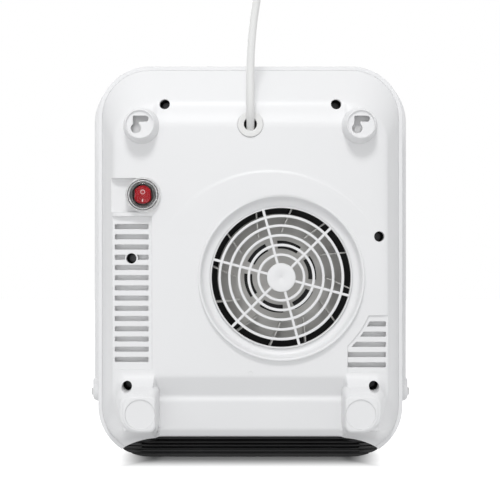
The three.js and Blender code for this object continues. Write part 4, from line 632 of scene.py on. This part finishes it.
pocket = block("pocket", SWITCH[0], 150, SWITCH[1] - 15, SWITCH[1] + 14.5, -5, 24)
carve(pocket, "DIFFERENCE", [bar("boss", *SWITCH, -6, 40, 15.25, sides=128)])
left_slots = in_a_row(rounded_slot(88.6, 117.9, -89.7), 14, white, step=(0, -SLOT_PITCH, 0))
carve(left_slots, "DIFFERENCE", [bar("well", *VENT_WELL, -6, 40, WELL_TUBE)])
right_slots = in_a_row(rounded_slot(-117.9, -60, -174.4), 5, white, step=(0, -SLOT_PITCH, 0))
carve(right_slots, "INTERSECT", [right_vent("edge", -6, 30, grown=-3.1)])


def back_solid(name, inwards):
    """The back half as one solid, or the same drawn in by a wall."""
    levels = []
    for depth in (14, 15, 16, 17, 18.5, 20, 22, 26, 30, 34, 42, 50, 58):
        half, bottom, upper, radius = back_outline(depth, inwards)
        levels.append((depth + inwards, ring(-half, half, bottom, upper, [radius] * 4)))
    return rings_loft(name, levels, white)


THINNED = 23.4
vent_back = block("thin", 87, 120, -213.5, -85.5, THINNED, 30)
carve(vent_back, "DIFFERENCE", [bar("well", *VENT_WELL, 20, 45, WELL_TUBE)])
carve(vent_back, "UNION", [right_vent("thin", THINNED, 30.01, grown=-2.0)])
carve(vent_back, "INTERSECT", [back_solid("limit", 2.2)])
OUTLET_TOP, OUTLET_END = -277, -302


def below_outlet(name, clearance=0.0):
    """Everything under the curved line where the white shells end."""
    top, end = OUTLET_TOP - clearance, OUTLET_END - clearance
    curve = []
    for i in range(25):
        t = i / 24
        curve.append((
            (1 - t) ** 2 * 128 + 2 * t * (1 - t) * 104 + t * t * 75,
            (1 - t) ** 2 * end + 2 * t * (1 - t) * top + t * t * top,
        ))
    outline = [(-150, -320), (150, -320), *curve, *[(-x, y) for x, y in reversed(curve)]]
    return prism(name, outline, -10, 140)


KEYHOLE_LEG, KEYHOLE_ENTRY = 5.1, 4.3


def keyhole(side_x):
    """An entry for the screw's head, a leg up from it and a level leg with a round end."""
    x, y = side_x, HANGER[1]
    left, right, top = x + 5.8, x - 7.5 + KEYHOLE_LEG / 2, y + 7.1
    return [
        block("leg", left - KEYHOLE_LEG, left, y - 3.5, top - 0.6, -1, 5.4),
        block("leg", right, left - 0.5, top - KEYHOLE_LEG, top, -1, 5.41),
        bar("leg", right, top - KEYHOLE_LEG / 2, -1, 5.42, KEYHOLE_LEG / 2, sides=48),
        bar("leg", x + 3.3, y - 3.5, -1, 5.43, KEYHOLE_ENTRY, sides=64),
    ]


def pair(name, x, y, start, end, radius):
    """The same round cut on both sides of the middle."""
    return joined(name, [bar(name, s * x, y, start, end, radius, sides=96) for s in (1, -1)])


GATE_MARK = (0.4, -219.6)
gate_profile = [(1.5, 10), (1.9, 10), (1.9, 21.0), (1.5, 21.0)]
carve(cover, "DIFFERENCE", [
    pocket,
    turned("mark", *GATE_MARK, gate_profile, white, 40),
    block("vent", 85.5, 150, -216, -83, -5, VENT_DEPTH),
    right_vent("vent", -5, VENT_DEPTH),
    left_slots,
    right_slots,
    joined("wells", [bar("well", x, y, -5, 45, WELL_BORE) for x, y in WELLS]),
    vent_back,
    pair("recess", *HANGER, -1, 1.4, 11.5),
    pair("pocket", *HANGER, 5.0, 10.0, 10.4),
    pair("disc", 94, -252.2, -1, 0.9, 12.7),
    *keyhole(HANGER[0]),
    *keyhole(-HANGER[0]),
    bar("hole", *LEAD_EXIT[:2], 0, 40, 11.15, sides=96),
    bar("hole", *SWITCH, 0, 40, 12.1, sides=96),
    below_outlet("edge"),
], 32)
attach(cover, "heater_body")
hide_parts("rear_cover")

# Lip and hollow of the inlet, with the seat for the guard.
lip = turned("rear_cover_inlet_lip", *FAN, [
    (72.5, 24.8), (72.5, 17.3), (72.2, 16.7), (71.6, 16.4), (70.9, 16.45), (70.4, 16.75),
    (70.0, 17.3), (69.5, 18.6), (69.0, 20.2), (68.4, 21.8), (67.5, 23.1), (66.2, 24.0),
    (64.6, 24.5), (62.3, 24.7), (62.3, 25.0), (65.1, 25.0), (65.1, 27.7), (67.6, 27.7),
    (67.6, 26.3),
], white, 192, 40)
# Tubes that the cover's screws stand in, painted near black as the painted shade deep in
# the wells, and the drip plates behind the vents.
tube_profile = [(WELL_BORE, 26.6), (WELL_TUBE, 26.6), (WELL_TUBE, 42.2), (0, 42.2), (0, 40),
                (WELL_BORE, 40)]
tubes = joined("rear_cover_screw_tubes", [
    turned("tube", x, y, tube_profile, near_black_and_well_shade, 48) for x, y in WELLS
])
PLATE_FRONT, PLATE_BACK = 27.2, 29
baffles = joined("rear_cover_drip_plates", [
    block("plate", 86.8, 120.2, -213.6, -85.4, PLATE_FRONT, PLATE_BACK),
    right_vent("plate", PLATE_FRONT, PLATE_BACK, grown=-1.9),
])
carve(baffles, "DIFFERENCE", [bar("well", *VENT_WELL, 20, 45, 5.0)])
for piece in (lip, tubes, baffles):
    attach(piece, "heater_body")
    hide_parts("rear_cover")
# Blackened screws, dark enough that they also paint the shade at the bottom of the deep wells.
well_shade_blackened = metal("blackened steel", (0.05, 0.05, 0.052), 0.35)
finish(well_shade_blackened, *[name for name in nodes if "cover_screw" in name])

# ---------------- front shell
# A deep white moulded tray with a flat rim, a step behind it and a well rounded front edge.
# Bosses on its sides take the pins of the towel rail.
FRONT_TURN, ROUNDING = 108.0, 22.0
STEP_START, STEP_END, STEP_INSET, DRAFT = 60, 66, 3.4, 0.1


def front_inset(depth):
    """How far the front half is drawn in from the rim at a depth."""
    if depth <= STEP_START:
        return 0.0
    if depth < STEP_END:
        return STEP_INSET * (0.5 - 0.5 * math.cos(math.pi * (depth - STEP_START) / 6))
    turn = max(0.0, depth - FRONT_TURN) / ROUNDING
    drafted = STEP_INSET + DRAFT * (min(depth, FRONT_TURN) - STEP_END)
    return drafted + ROUNDING * (1 - math.sqrt(1 - turn * turn)) * 0.93


FRONT_LEVELS = [50, 60, 61, 62, 63, 64, 65, 66, 78, 90, 108]
FRONT_LEVELS += [FRONT_TURN + ROUNDING * math.sin(math.pi / 2 * i / 12) for i in range(1, 13)]


def front_solid(name, inwards=0.0, least=0.0, start=RIM):
    """The front half as one solid, or the same drawn in by a wall."""
    out = []
    for depth in [start, *[d for d in FRONT_LEVELS if d > start]]:
        drawn = max(front_inset(depth), least)
        inset = drawn + inwards
        half = HALF - inset
        radius = max(CORNER - 0.6 * drawn - inwards, 6)
        turn = max(0.0, depth - FRONT_TURN) / ROUNDING
        outline = ring(-half, half, BOTTOM + inset, TOP - inset, [radius] * 4)
        out.append((depth - inwards * turn, outline))
    return rings_loft(name, out, white)


RIM_WALL = 3.54
shell = front_solid("front_shell_skin")
inner = front_solid("inner", 2.6, 3.2, start=57.5)
rim_hollow_outline = ring(-132.96, 132.96, BOTTOM + RIM_WALL, TOP - RIM_WALL,
                          [CORNER - RIM_WALL] * 4)
rim_hollow = prism("inner", rim_hollow_outline, 49, 58.3)
carve(shell, "DIFFERENCE", [inner, rim_hollow, below_outlet("edge")])


def along_x(name, steps, y, depth, smooth=30):
    """A solid turned about an axis across the body, from (x, radius) steps."""
    sides = 64
    turns = [2 * math.pi * i / sides for i in range(sides)]
    sections = [[(x, y + r * math.cos(t), depth + r * math.sin(t)) for t in turns]
                for x, r in steps]
    return loft(name, sections, white, smooth)


PIVOT = (-244, 90)
pivot_bosses = joined("front_shell_pivot_bosses", [
    along_x("boss", ((side * 126, 8.5), (side * HALF, 8.5)), *PIVOT) for side in (1, -1)
])
for piece in (shell, pivot_bosses):
    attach(piece, "heater_body")
    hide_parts("front_shell")

# ---------------- outlet grille
# The black moulded underside, held between the two shells and open between louvres that
# turn the air down and forward. Fine grooves run across the part that shows.
GRILLE_SET, GRILLE_WALL = 0.4, 3.0


def whole_body(name, inwards):
    """The back and front halves as one solid, drawn in all round."""
    solid = back_solid(name, inwards)
    carve(solid, "UNION", [front_solid("front", inwards, start=RIM + inwards)])
    return solid


grille = whole_body("outlet_grille_louvred", GRILLE_SET)
carve(grille, "DIFFERENCE", [whole_body("hollow", GRILLE_SET + GRILLE_WALL)])
carve(grille, "INTERSECT", [below_outlet("edge", 0.3)])
LOUVRE_PITCH = 3.6
WINDOW, LOUVRE_END = 97, 97.5
grooves = in_a_row(block("groove", -131, 131, -280.4, -279.4, 20, 52), 6, black,
                   step=(0, -LOUVRE_PITCH, 0))
carve(grooves, "DIFFERENCE", [back_solid("skin", 2.6)])
carve(grille, "DIFFERENCE", [grooves])
windows = block("window", -WINDOW, WINDOW, -330, OUTLET_TOP, 34, 49)
front_window = block("window", -WINDOW, WINDOW, -330, OUTLET_TOP, 55, 116)
carve(windows, "INTERSECT", [below_outlet("edge", 3)])
carve(front_window, "INTERSECT", [below_outlet("edge", 3)])
carve(grille, "DIFFERENCE", [windows, front_window])
# The louvres step down the slope of the underside.
LEAN = (RIM - BOTTOM_SHOULDER) / BOTTOM_RUN
top_edge = (OUTLET_TOP - 2 - LOUVRE_PITCH, 31 + (2 + LOUVRE_PITCH) * LEAN)
louvre_corners = ((-1, 0), (-2.7, 0), (2.3, 11), (4, 11))
louvre_outline = [(top_edge[0] + a, top_edge[1] + b) for a, b in louvre_corners]
bars = loft("louvre", [[(x, a, b) for a, b in louvre_outline] for x in (-LOUVRE_END, LOUVRE_END)],
            black)
in_a_row(bars, 4, black, step=(0, -LOUVRE_PITCH, LOUVRE_PITCH * LEAN))
fins = in_a_row(block("fin", -LOUVRE_END, LOUVRE_END, -297.5, -284, 56, 57.7, black), 8, black,
                step=(0, 0, 8))
ribs = in_a_row(block("rib", -46, -44, -297.3, -289, 55, 115, black), 3, black, step=(45, 0, 0))
carve(bars, "UNION", [fins, ribs])
carve(bars, "INTERSECT", [whole_body("limit", GRILLE_SET)])
bars.name = "outlet_grille_louvres"
for piece in (grille, bars):
    piece.data.materials.clear()
    piece.data.materials.append(black)
    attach(piece, "heater_body")
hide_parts("outlet_grille")
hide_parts("outlet_grille")

# ---------------- fan guard
# A flat white moulded cage held in a groove of the inlet: round rings on six spokes, with a
# plain hub.
RINGS, FIRST_RING, RING_PITCH, RING_HALF = 5, 19.9, 8.45, 1.15
SPOKES, FIRST_SPOKE = 6, math.radians(15)


def guard_ring(inner, outer, z0, z1, sides):
    e = 0.45
    profile = [(inner, z1), (inner, z0 + e), (inner + e * 0.3, z0 + e * 0.3), (inner + e, z0),
               (outer - e, z0), (outer - e * 0.3, z0 + e * 0.3), (outer, z0 + e), (outer, z1)]
    return turned("ring", *FAN, profile, white, sides, 40)


guard_pieces = []
for i in range(RINGS):
    inside_edge = FIRST_RING + RING_PITCH * i - RING_HALF
    guard_pieces.append(guard_ring(inside_edge, inside_edge + 2 * RING_HALF, 22, 24.4, 96 + 16 * i))
guard_pieces.append(guard_ring(60.7, 62.0, 22.5, 25.3, 176))
rim_profile = [(60.7, 25.3), (64.8, 25.3), (64.8, 27.7), (60.7, 27.7)]
guard_pieces.append(turned("rim", *FAN, rim_profile, white, 176))
hub_profile = [(0, 21.9), (1.0, 21.9), (1.2, 21.62), (2.4, 21.62), (2.6, 21.5), (11.6, 21.5),
               (12.3, 21.7), (12.6, 22.2), (12.6, 24.5), (0, 24.5)]
guard_pieces.append(turned("hub", *FAN, hub_profile, white, 96, 40))
spoke_profile = [(-1.15, 24.4), (-1.15, 22.4), (-0.75, 22.02), (0.75, 22.02), (1.15, 22.4),
                 (1.15, 24.4)]
spoke_sections = []
for radius in (11, 61.3):
    spoke_sections.append([
        (radius * math.cos(FIRST_SPOKE) - w * math.sin(FIRST_SPOKE),
         radius * math.sin(FIRST_SPOKE) + w * math.cos(FIRST_SPOKE), z)
        for w, z in spoke_profile
    ])
spoke = loft("spoke", spoke_sections, white, 40)
guard_pieces.append(in_a_row(spoke, SPOKES, white, start=(*FAN, 0), turn=360 / SPOKES))
guard = joined("fan_guard_cage", guard_pieces)
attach(guard, "heater_body")
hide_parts("fan_guard")

# ---------------- impeller
# A pale moulded wheel on the motor's shaft: a flat plate with arc slots carries twelve
# blades that stand towards the inlet.
fan_plastic = moulded("fan moulding", (0.60, 0.59, 0.57), 0.5, grain=0.05, drift=0.08, edge=0.0003)
BRIDGES, BLADES = 6, 12
BLADE_TIP, BLADE_RUN, BLADE_HALF = 66, 26, 0.6


def sector(inner, outer, start, end, z0, z1, material, steps=20):
    """Part of a flat ring about the depth axis."""
    turns = [math.radians(start + (end - start) * i / steps) for i in range(steps + 1)]
    out = [(outer * math.cos(t), outer * math.sin(t)) for t in turns]
    back = [(inner * math.cos(t), inner * math.sin(t)) for t in reversed(turns)]
    return prism("sector", out + back, z0, z1, material)


hub_plate = [(2.8, 50), (9, 50), (9, 54), (25.3, 54), (25.3, 56), (9, 56), (9, 58), (2.8, 58)]
outer_plate = [(32.5, 54), (56.7, 54), (56.7, 56), (32.5, 56)]
bridge = sector(25.2, 32.6, 65, 85, 54.01, 55.99, fan_plastic)
near, far = [], []
for k in range(11):
    along = k / 10
    radius = BLADE_TIP - along * BLADE_RUN
    turn = math.radians(10 - 9 * along**1.4)
    half = BLADE_HALF / radius
    near.append((radius * math.cos(turn - half), radius * math.sin(turn - half)))
    far.append((radius * math.cos(turn + half), radius * math.sin(turn + half)))
blade = prism("blade", near + far[::-1], 31.5, 54.3, fan_plastic)
wheel = joined("impeller_wheel", [
    turned("disc", *FAN, hub_plate, fan_plastic, 120),
    turned("disc", *FAN, outer_plate, fan_plastic, 144),
    in_a_row(bridge, BRIDGES, fan_plastic, start=(*FAN, 0), turn=360 / BRIDGES),
    in_a_row(blade, BLADES, fan_plastic, start=(*FAN, 0), turn=360 / BLADES),
])
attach(wheel, "fan")
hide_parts("impeller")

# ---------------- inner works
# Scroll, motor, heater, cut-out, terminal block and the bodies of both controls, screwed
# inside the shells. Little of them shows, so the frame's solids stay and are only painted.
zinc = metal("zinc plated steel", (0.5, 0.5, 0.5), 0.4)
grey = moulded("grey moulding", (0.16, 0.16, 0.16), 0.5, grain=0.06, drift=0.1)
ceramic = moulded("ceramic", (0.55, 0.53, 0.48), 0.6, grain=0.2, drift=0.05)
mica = moulded("mica sheet", (0.35, 0.29, 0.2), 0.35, grain=0.2, drift=0.3, scale=300)
finish(near_black_and_well_shade, "scroll_housing", "scroll_inlet_plate")
finish(steel, "motor_shaft", "heating_element_rear", "heating_element_front")
finish(mica, "heater_frame")
finish(ceramic, "thermal_cutout", "thermostat_body", "terminal_block")
finish(grey, "selector_switch_body", "cord_clamp")
finish(zinc, "motor_body", "selector_spindle", "thermostat_spindle")
finish(zinc, *[name for name in nodes if "screw" in name and "cover_screw" not in name])

# ---------------- round rocker switch
# A round switch that snaps into the cover: a black bezel and a red rocker, off, under a
# clear silicone splash cap.
bezel_black = moulded("bezel moulding", (0.085, 0.085, 0.083), 0.35, grain=0.05, drift=0.1,
                      edge=0.0003)
housing = turned("switch_bezel", *SWITCH, [
    (0, 20.2), (8.9, 20.2), (8.9, 13.4), (9.2, 12.5), (10.0, 12.1), (11.2, 12.2), (11.9, 12.7),
    (11.9, 14.2), (10, 14.2), (10, 38.2), (0, 38.2),
], bezel_black, 96, 40)
gasket_profile = [(11.96, 14.25), (13.1, 14.25), (13.1, 14.45), (11.96, 14.45)]
gasket = turned("gasket", *SWITCH, gasket_profile, bezel_black, 96)
housing = joined("switch_bezel", [housing, gasket])
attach(housing, "heater_body")
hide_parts("switch_housing")

red = moulded("red rocker", (0.34, 0.004, 0.010), 0.3, drift=0.15, edge=0.0003, shine=0.12)
ROCKER_HALF, ROCKER_RADIUS, ROCKER_DROP = 6.9, 8.0, 0.6
ROCKER_SLICES, ROCKER_POINTS = 24, 16
TILT, TILT_DEPTH = math.radians(10), 14.5


def rocker_face(x, y):
    """Depth of the rocker's face before it is tilted."""
    return 10.7 + 1.3 * (1 - (y / 8.7) ** 2) + 0.35 * (abs(x) / 7.3) ** 6


def tilted(x, y, depth):
    """A point of the rocker, turned about its pivot to where it stands when off."""
    dy, dz = y, depth - TILT_DEPTH
    ty = dy * math.cos(TILT) - dz * math.sin(TILT)
    tz = dy * math.sin(TILT) + dz * math.cos(TILT)
    return (SWITCH[0] + x, SWITCH[1] - ROCKER_DROP + ty, TILT_DEPTH + tz)


rocker_sections = []
for k in range(ROCKER_SLICES + 1):
    x = -ROCKER_HALF + 2 * ROCKER_HALF * k / ROCKER_SLICES
    reach_y = math.sqrt(max(ROCKER_RADIUS**2 - x * x, 0.1))
    end_round = 0.5 if k in (0, ROCKER_SLICES) else 0
    points = []
    for i in range(ROCKER_POINTS + 1):
        y = -reach_y + 2 * reach_y * i / ROCKER_POINTS
        points.append((y, rocker_face(x, y) + end_round))
    lower = [(reach_y * 0.86, 16.5), (0, 18.5), (-reach_y * 0.86, 16.5)]
    rocker_sections.append([tilted(x, y, z) for y, z in points + lower])
rocker = loft("rocker_key", rocker_sections, red, 40)
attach(rocker, "rocker")
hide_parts("switch_rocker")

# The circle and the stroke that are printed on it.
print_white = moulded("pale print", (0.75, 0.7, 0.7), 0.5, edge=0)
PRINT_LIFT = 0.06
CIRCLE_Y, CIRCLE_EDGES, CIRCLE_STEPS = 2.5, (1.5, 1.95), 32
STROKE_STEPS, STROKE_HALF = (-6.5, -5.8, -5.1, -4.4, -3.7), 0.42


def on_rocker(x, y):
    """A point on the tilted face of the rocker."""
    return tilted(x, y, rocker_face(x, y) - PRINT_LIFT)


mark_vertices, mark_faces = [], []
for i in range(CIRCLE_STEPS):
    turn = 2 * math.pi * i / CIRCLE_STEPS
    for radius in CIRCLE_EDGES:
        mark_vertices.append(on_rocker(radius * math.cos(turn), CIRCLE_Y + radius * math.sin(turn)))
for i in range(CIRCLE_STEPS):
    j = (i + 1) % CIRCLE_STEPS
    mark_faces.append([2 * i, 2 * i + 1, 2 * j + 1, 2 * j])
start = len(mark_vertices)
for y in STROKE_STEPS:
    for x in (-STROKE_HALF, STROKE_HALF):
        mark_vertices.append(on_rocker(x, y))
for i in range(len(STROKE_STEPS) - 1):
    a = start + 2 * i
    mark_faces.append([a, a + 1, a + 3, a + 2])
marks = mesh_object("rocker_marks", mark_vertices, mark_faces, print_white, 0)
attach(marks, "rocker")

clear, clear_tree, clear_shader = new_paint("clear silicone")
clear_place = new_node(clear_tree, "TexCoord").outputs["Object"]
clear_noise = new_node(clear_tree, "TexNoise", {"Scale": 260, "Vector": clear_place})
clear_bump = new_node(clear_tree, "Bump", {
    "Strength": 0.02, "Distance": 0.0005, "Height": clear_noise.outputs["Fac"],
})
fed(clear_tree, clear_shader, {
    "Base Color": (0.93, 0.93, 0.93, 1), "Roughness": 0.04, "Transmission Weight": 1.0,
    "IOR": 1.14, "Normal": clear_bump.outputs["Normal"],
})
boot = turned("switch_splash_cap", *SWITCH, [
    (14.8, 14.2), (14.8, 11.8), (14.3, 11.35), (13.5, 11.2), (13.1, 10.8), (12.8, 9.6),
    (12.3, 8.4), (11.2, 7.3), (9.6, 6.5), (7.5, 6.0), (4, 5.75), (0, 5.7), (0, 6.7), (4, 6.8),
    (7.4, 7.1), (9.2, 7.6), (10.6, 8.4), (11.4, 9.4), (11.75, 10.6), (12.0, 12.0), (12.0, 14.2),
], clear, 96, 45)
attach(boot, "heater_body")
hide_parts("switch_boot")

# ---------------- gland
# A flanged white moulded ring, set in the cover's hole, that keeps the lead off the hole's
# edge.
gland = turned("lead_gland", *LEAD_EXIT[:2], [
    (5.6, 16.5), (5.6, 15.1), (5.8, 14.65), (6.3, 14.5), (10.3, 14.5), (10.85, 14.7), (11, 15.2),
    (11, 16), (9, 16.2), (9, 24), (5.6, 24),
], cord_white, 96, 40)
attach(gland, "heater_body")
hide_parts("cord_gland")

# ---------------- front controls
# Two white knobs pushed on to their spindles: a skirted disc with a tapered grip across it
# and a pointer line on the grip. A red lamp lens sits midway between them.
KNOB_X, KNOB_Y, KNOB_SEAT = 58, -34, 130.3
GRIP_LEVELS = ((2, 9, 18), (6, 9, 18), (12, 8.3, 17.2), (15.6, 7.6, 16.6), (16.6, 7.0, 16.2),
               (17, 6, 15.5))


def control_knob(x, name, body, node):
    seat = KNOB_SEAT
    disc_profile = [(0, seat), (19, seat), (19, seat + 4), (18.6, seat + 5.2), (17.5, seat + 6),
                    (0, seat + 6)]
    disc = turned("disc", x, KNOB_Y, disc_profile, white, 128, 40)
    grip_outlines = []
    for level, width, length in GRIP_LEVELS:
        outline = ring(x - width / 2, x + width / 2, KNOB_Y - length, KNOB_Y + length,
                       [width / 2 - 0.05] * 4, 8)
        grip_outlines.append((seat + level, outline))
    knob = joined(name, [disc, rings_loft("grip", grip_outlines, white, 40)])
    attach(knob, body)
    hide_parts(node)
    line = block(name + "_pointer", x - 0.6, x + 0.6, -27, -19, seat + 16.95, seat + 17.0, grey)
    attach(line, body)


control_knob(-KNOB_X, "selector_knob_grip", "selector", "selector_knob")
control_knob(KNOB_X, "thermostat_knob_grip", "thermostat", "thermostat_knob")
finish(red, "pilot_lens")

# ---------------- towel rail
# One bent bar, painted white, in two moulded knuckles that swing on plated pins at the
# sides of the body.
RAIL_X, RAIL_TOP, RAIL_FOOT, RAIL_DEPTH, RAIL_BEND = 141.9, 52.0, -239, 90.0, 46.0
RAIL_RADIUS, RAIL_SIDES, BEND_STEPS = 3.5, 32, 32
rail_path = [(RAIL_X, RAIL_FOOT)]
for i in range(BEND_STEPS + 1):
    turn = math.pi / 2 * i / BEND_STEPS
    rail_path.append((RAIL_X - RAIL_BEND + RAIL_BEND * math.cos(turn),
                      RAIL_TOP - RAIL_BEND + RAIL_BEND * math.sin(turn)))
rail_path += [(-x, y) for x, y in reversed(rail_path)]
rail_sections = []
for k, (x, y) in enumerate(rail_path):
    bx, by = rail_path[max(0, k - 1)]
    ax, ay = rail_path[min(len(rail_path) - 1, k + 1)]
    size = math.hypot(ax - bx, ay - by)
    nx, ny = -(ay - by) / size, (ax - bx) / size
    rail_sections.append([
        (x + RAIL_RADIUS * math.cos(t) * nx, y + RAIL_RADIUS * math.cos(t) * ny,
         RAIL_DEPTH + RAIL_RADIUS * math.sin(t))
        for t in [2 * math.pi * i / RAIL_SIDES for i in range(RAIL_SIDES)]
    ])
rail = loft("towel_rail_bar", rail_sections, white, 50)
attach(rail, "rail")
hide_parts("towel_rail")
KNUCKLE_INNER, KNUCKLE_OUTER = 136.9, 146.5
KNUCKLE_STEPS = ((KNUCKLE_INNER, 8.6), (137.2, 9), (143, 9), (144.6, 8.4), (145.9, 7.2),
                 (KNUCKLE_OUTER, 5.6))
for side, node in ((1, "rail_knuckle_left"), (-1, "rail_knuckle_right")):
    hub = along_x("hub", [(side * x, r) for x, r in KNUCKLE_STEPS], *PIVOT, 40)
    arm_sides = sorted((side * KNUCKLE_INNER, side * KNUCKLE_OUTER))
    arm = block("arm", *arm_sides, PIVOT[0], -231, 84.5, 95.5)
    soften = arm.modifiers.new("soften", "BEVEL")
    soften.width = 2.2 * MM
    soften.segments = 5
    settled(arm).shade_smooth()
    knuckle = joined(node + "_moulding", [hub, arm])
    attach(knuckle, "rail")
    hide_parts(node)
finish(zinc, "rail_pin_left", "rail_pin_right")


# ---------------- floor
# Its white glow is only what the camera, metal and glass see. The glow fades out under
# the heater, which paints a contact shadow there over the dim floor's own shading.
def worked_out(tree, operation, *values):
    """The result of a math node, fed by sockets or plain numbers."""
    node = new_node(tree, "Math", dict(enumerate(values)))
    node.operation = operation
    return node.outputs[0]


def seen_rays(tree):
    """1 on camera, mirror and see-through rays, 0 on the rays that carry light about."""
    path = tree.nodes.new("ShaderNodeLightPath")
    seen = worked_out(tree, "MAXIMUM", path.outputs["Is Camera Ray"], path.outputs["Is Glossy Ray"])
    return worked_out(tree, "MAXIMUM", seen, path.outputs["Is Transmission Ray"])


FLOOR_TOP, FLOOR_THICK, FLOOR_HALF = -297.7, 0.5, 3000
floor = block("floor", -FLOOR_HALF, FLOOR_HALF, FLOOR_TOP - FLOOR_THICK, FLOOR_TOP,
              -FLOOR_HALF, FLOOR_HALF)
floor_paint, paint, floor_shader = new_paint("pale floor")
ground = new_node(paint, "TexCoord").outputs["Object"]
across = new_node(paint, "SeparateXYZ", {"Vector": ground})
glows_past_painted_shadow = []
# The glow grows with distance from under the heater, so the dark patch there is painted shadow.
for axis, shift, painted_shadow_edge, painted_shadow_end in (("X", 0.0, 0.085, 0.128), ("Y", 0.074, 0.033, 0.088)):
    off_middle = worked_out(paint, "ABSOLUTE",
                            worked_out(paint, "ADD", across.outputs[axis], shift))
    glow = new_node(paint, "MapRange", {
        "Value": off_middle, "From Min": painted_shadow_edge, "From Max": painted_shadow_end,
    })
    glow.interpolation_type = "SMOOTHSTEP"
    glows_past_painted_shadow.append(glow.outputs["Result"])
glow_with_painted_shadow = worked_out(paint, "MULTIPLY", worked_out(paint, "MAXIMUM", *glows_past_painted_shadow), seen_rays(paint))
fed(paint, floor_shader, {
    "Base Color": (0.36, 0.36, 0.36, 1), "Roughness": 0.9, "Specular IOR Level": 0.1,
    "Emission Color": (1, 1, 1, 1), "Emission Strength": glow_with_painted_shadow,
})
floor.data.materials.clear()
floor.data.materials.append(floor_paint)
floor.visible_diffuse = False

# ---------------- world and lamps
# A plain soft studio: a white backdrop that only the seen rays meet, a dimmer even light
# from it on the object, and three disc lamps.
world = bpy.data.worlds.new("studio")
bpy.context.scene.world = world
world.use_nodes = True
sky = world.node_tree
sky.nodes.clear()
plain = new_node(sky, "Background", {"Color": (1, 1, 1, 1), "Strength": 1.0})
facing = new_node(sky, "TexCoord").outputs["Generated"]
height = new_node(sky, "SeparateXYZ", {"Vector": facing}).outputs["Z"]
overhead = new_node(sky, "MapRange", {
    "Value": height, "From Min": -1.0, "From Max": 1.0, "To Min": 0.66, "To Max": 0.70,
}).outputs["Result"]
dim = new_node(sky, "Background", {"Color": (0.98, 0.99, 1, 1), "Strength": overhead})
mix = new_node(sky, "MixShader", {
    "Fac": seen_rays(sky), 1: dim.outputs["Background"], 2: plain.outputs["Background"],
})
new_node(sky, "OutputWorld", {"Surface": mix.outputs["Shader"]})
LIGHT_AIM = Vector((0, -0.05, -0.12))


def lamp(name, place, size, power):
    light = bpy.data.lights.new(name, "AREA")
    light.shape = "DISK"
    light.size = size
    light.energy = power
    holder = bpy.data.objects.new(name, light)
    bpy.context.collection.objects.link(holder)
    holder.location = place
    holder.rotation_euler = (LIGHT_AIM - Vector(place)).to_track_quat("-Z", "Y").to_euler()


lamp("key above", (0.05, 0.95, 0.95), 0.34, 7.4)
lamp("low fill", (0.35, 1.2, -0.24), 1.0, 2.2)
lamp("far fill", (0.6, -1.6, 0.9), 1.2, 10)
bpy.context.scene.view_settings.view_transform = "Standard"
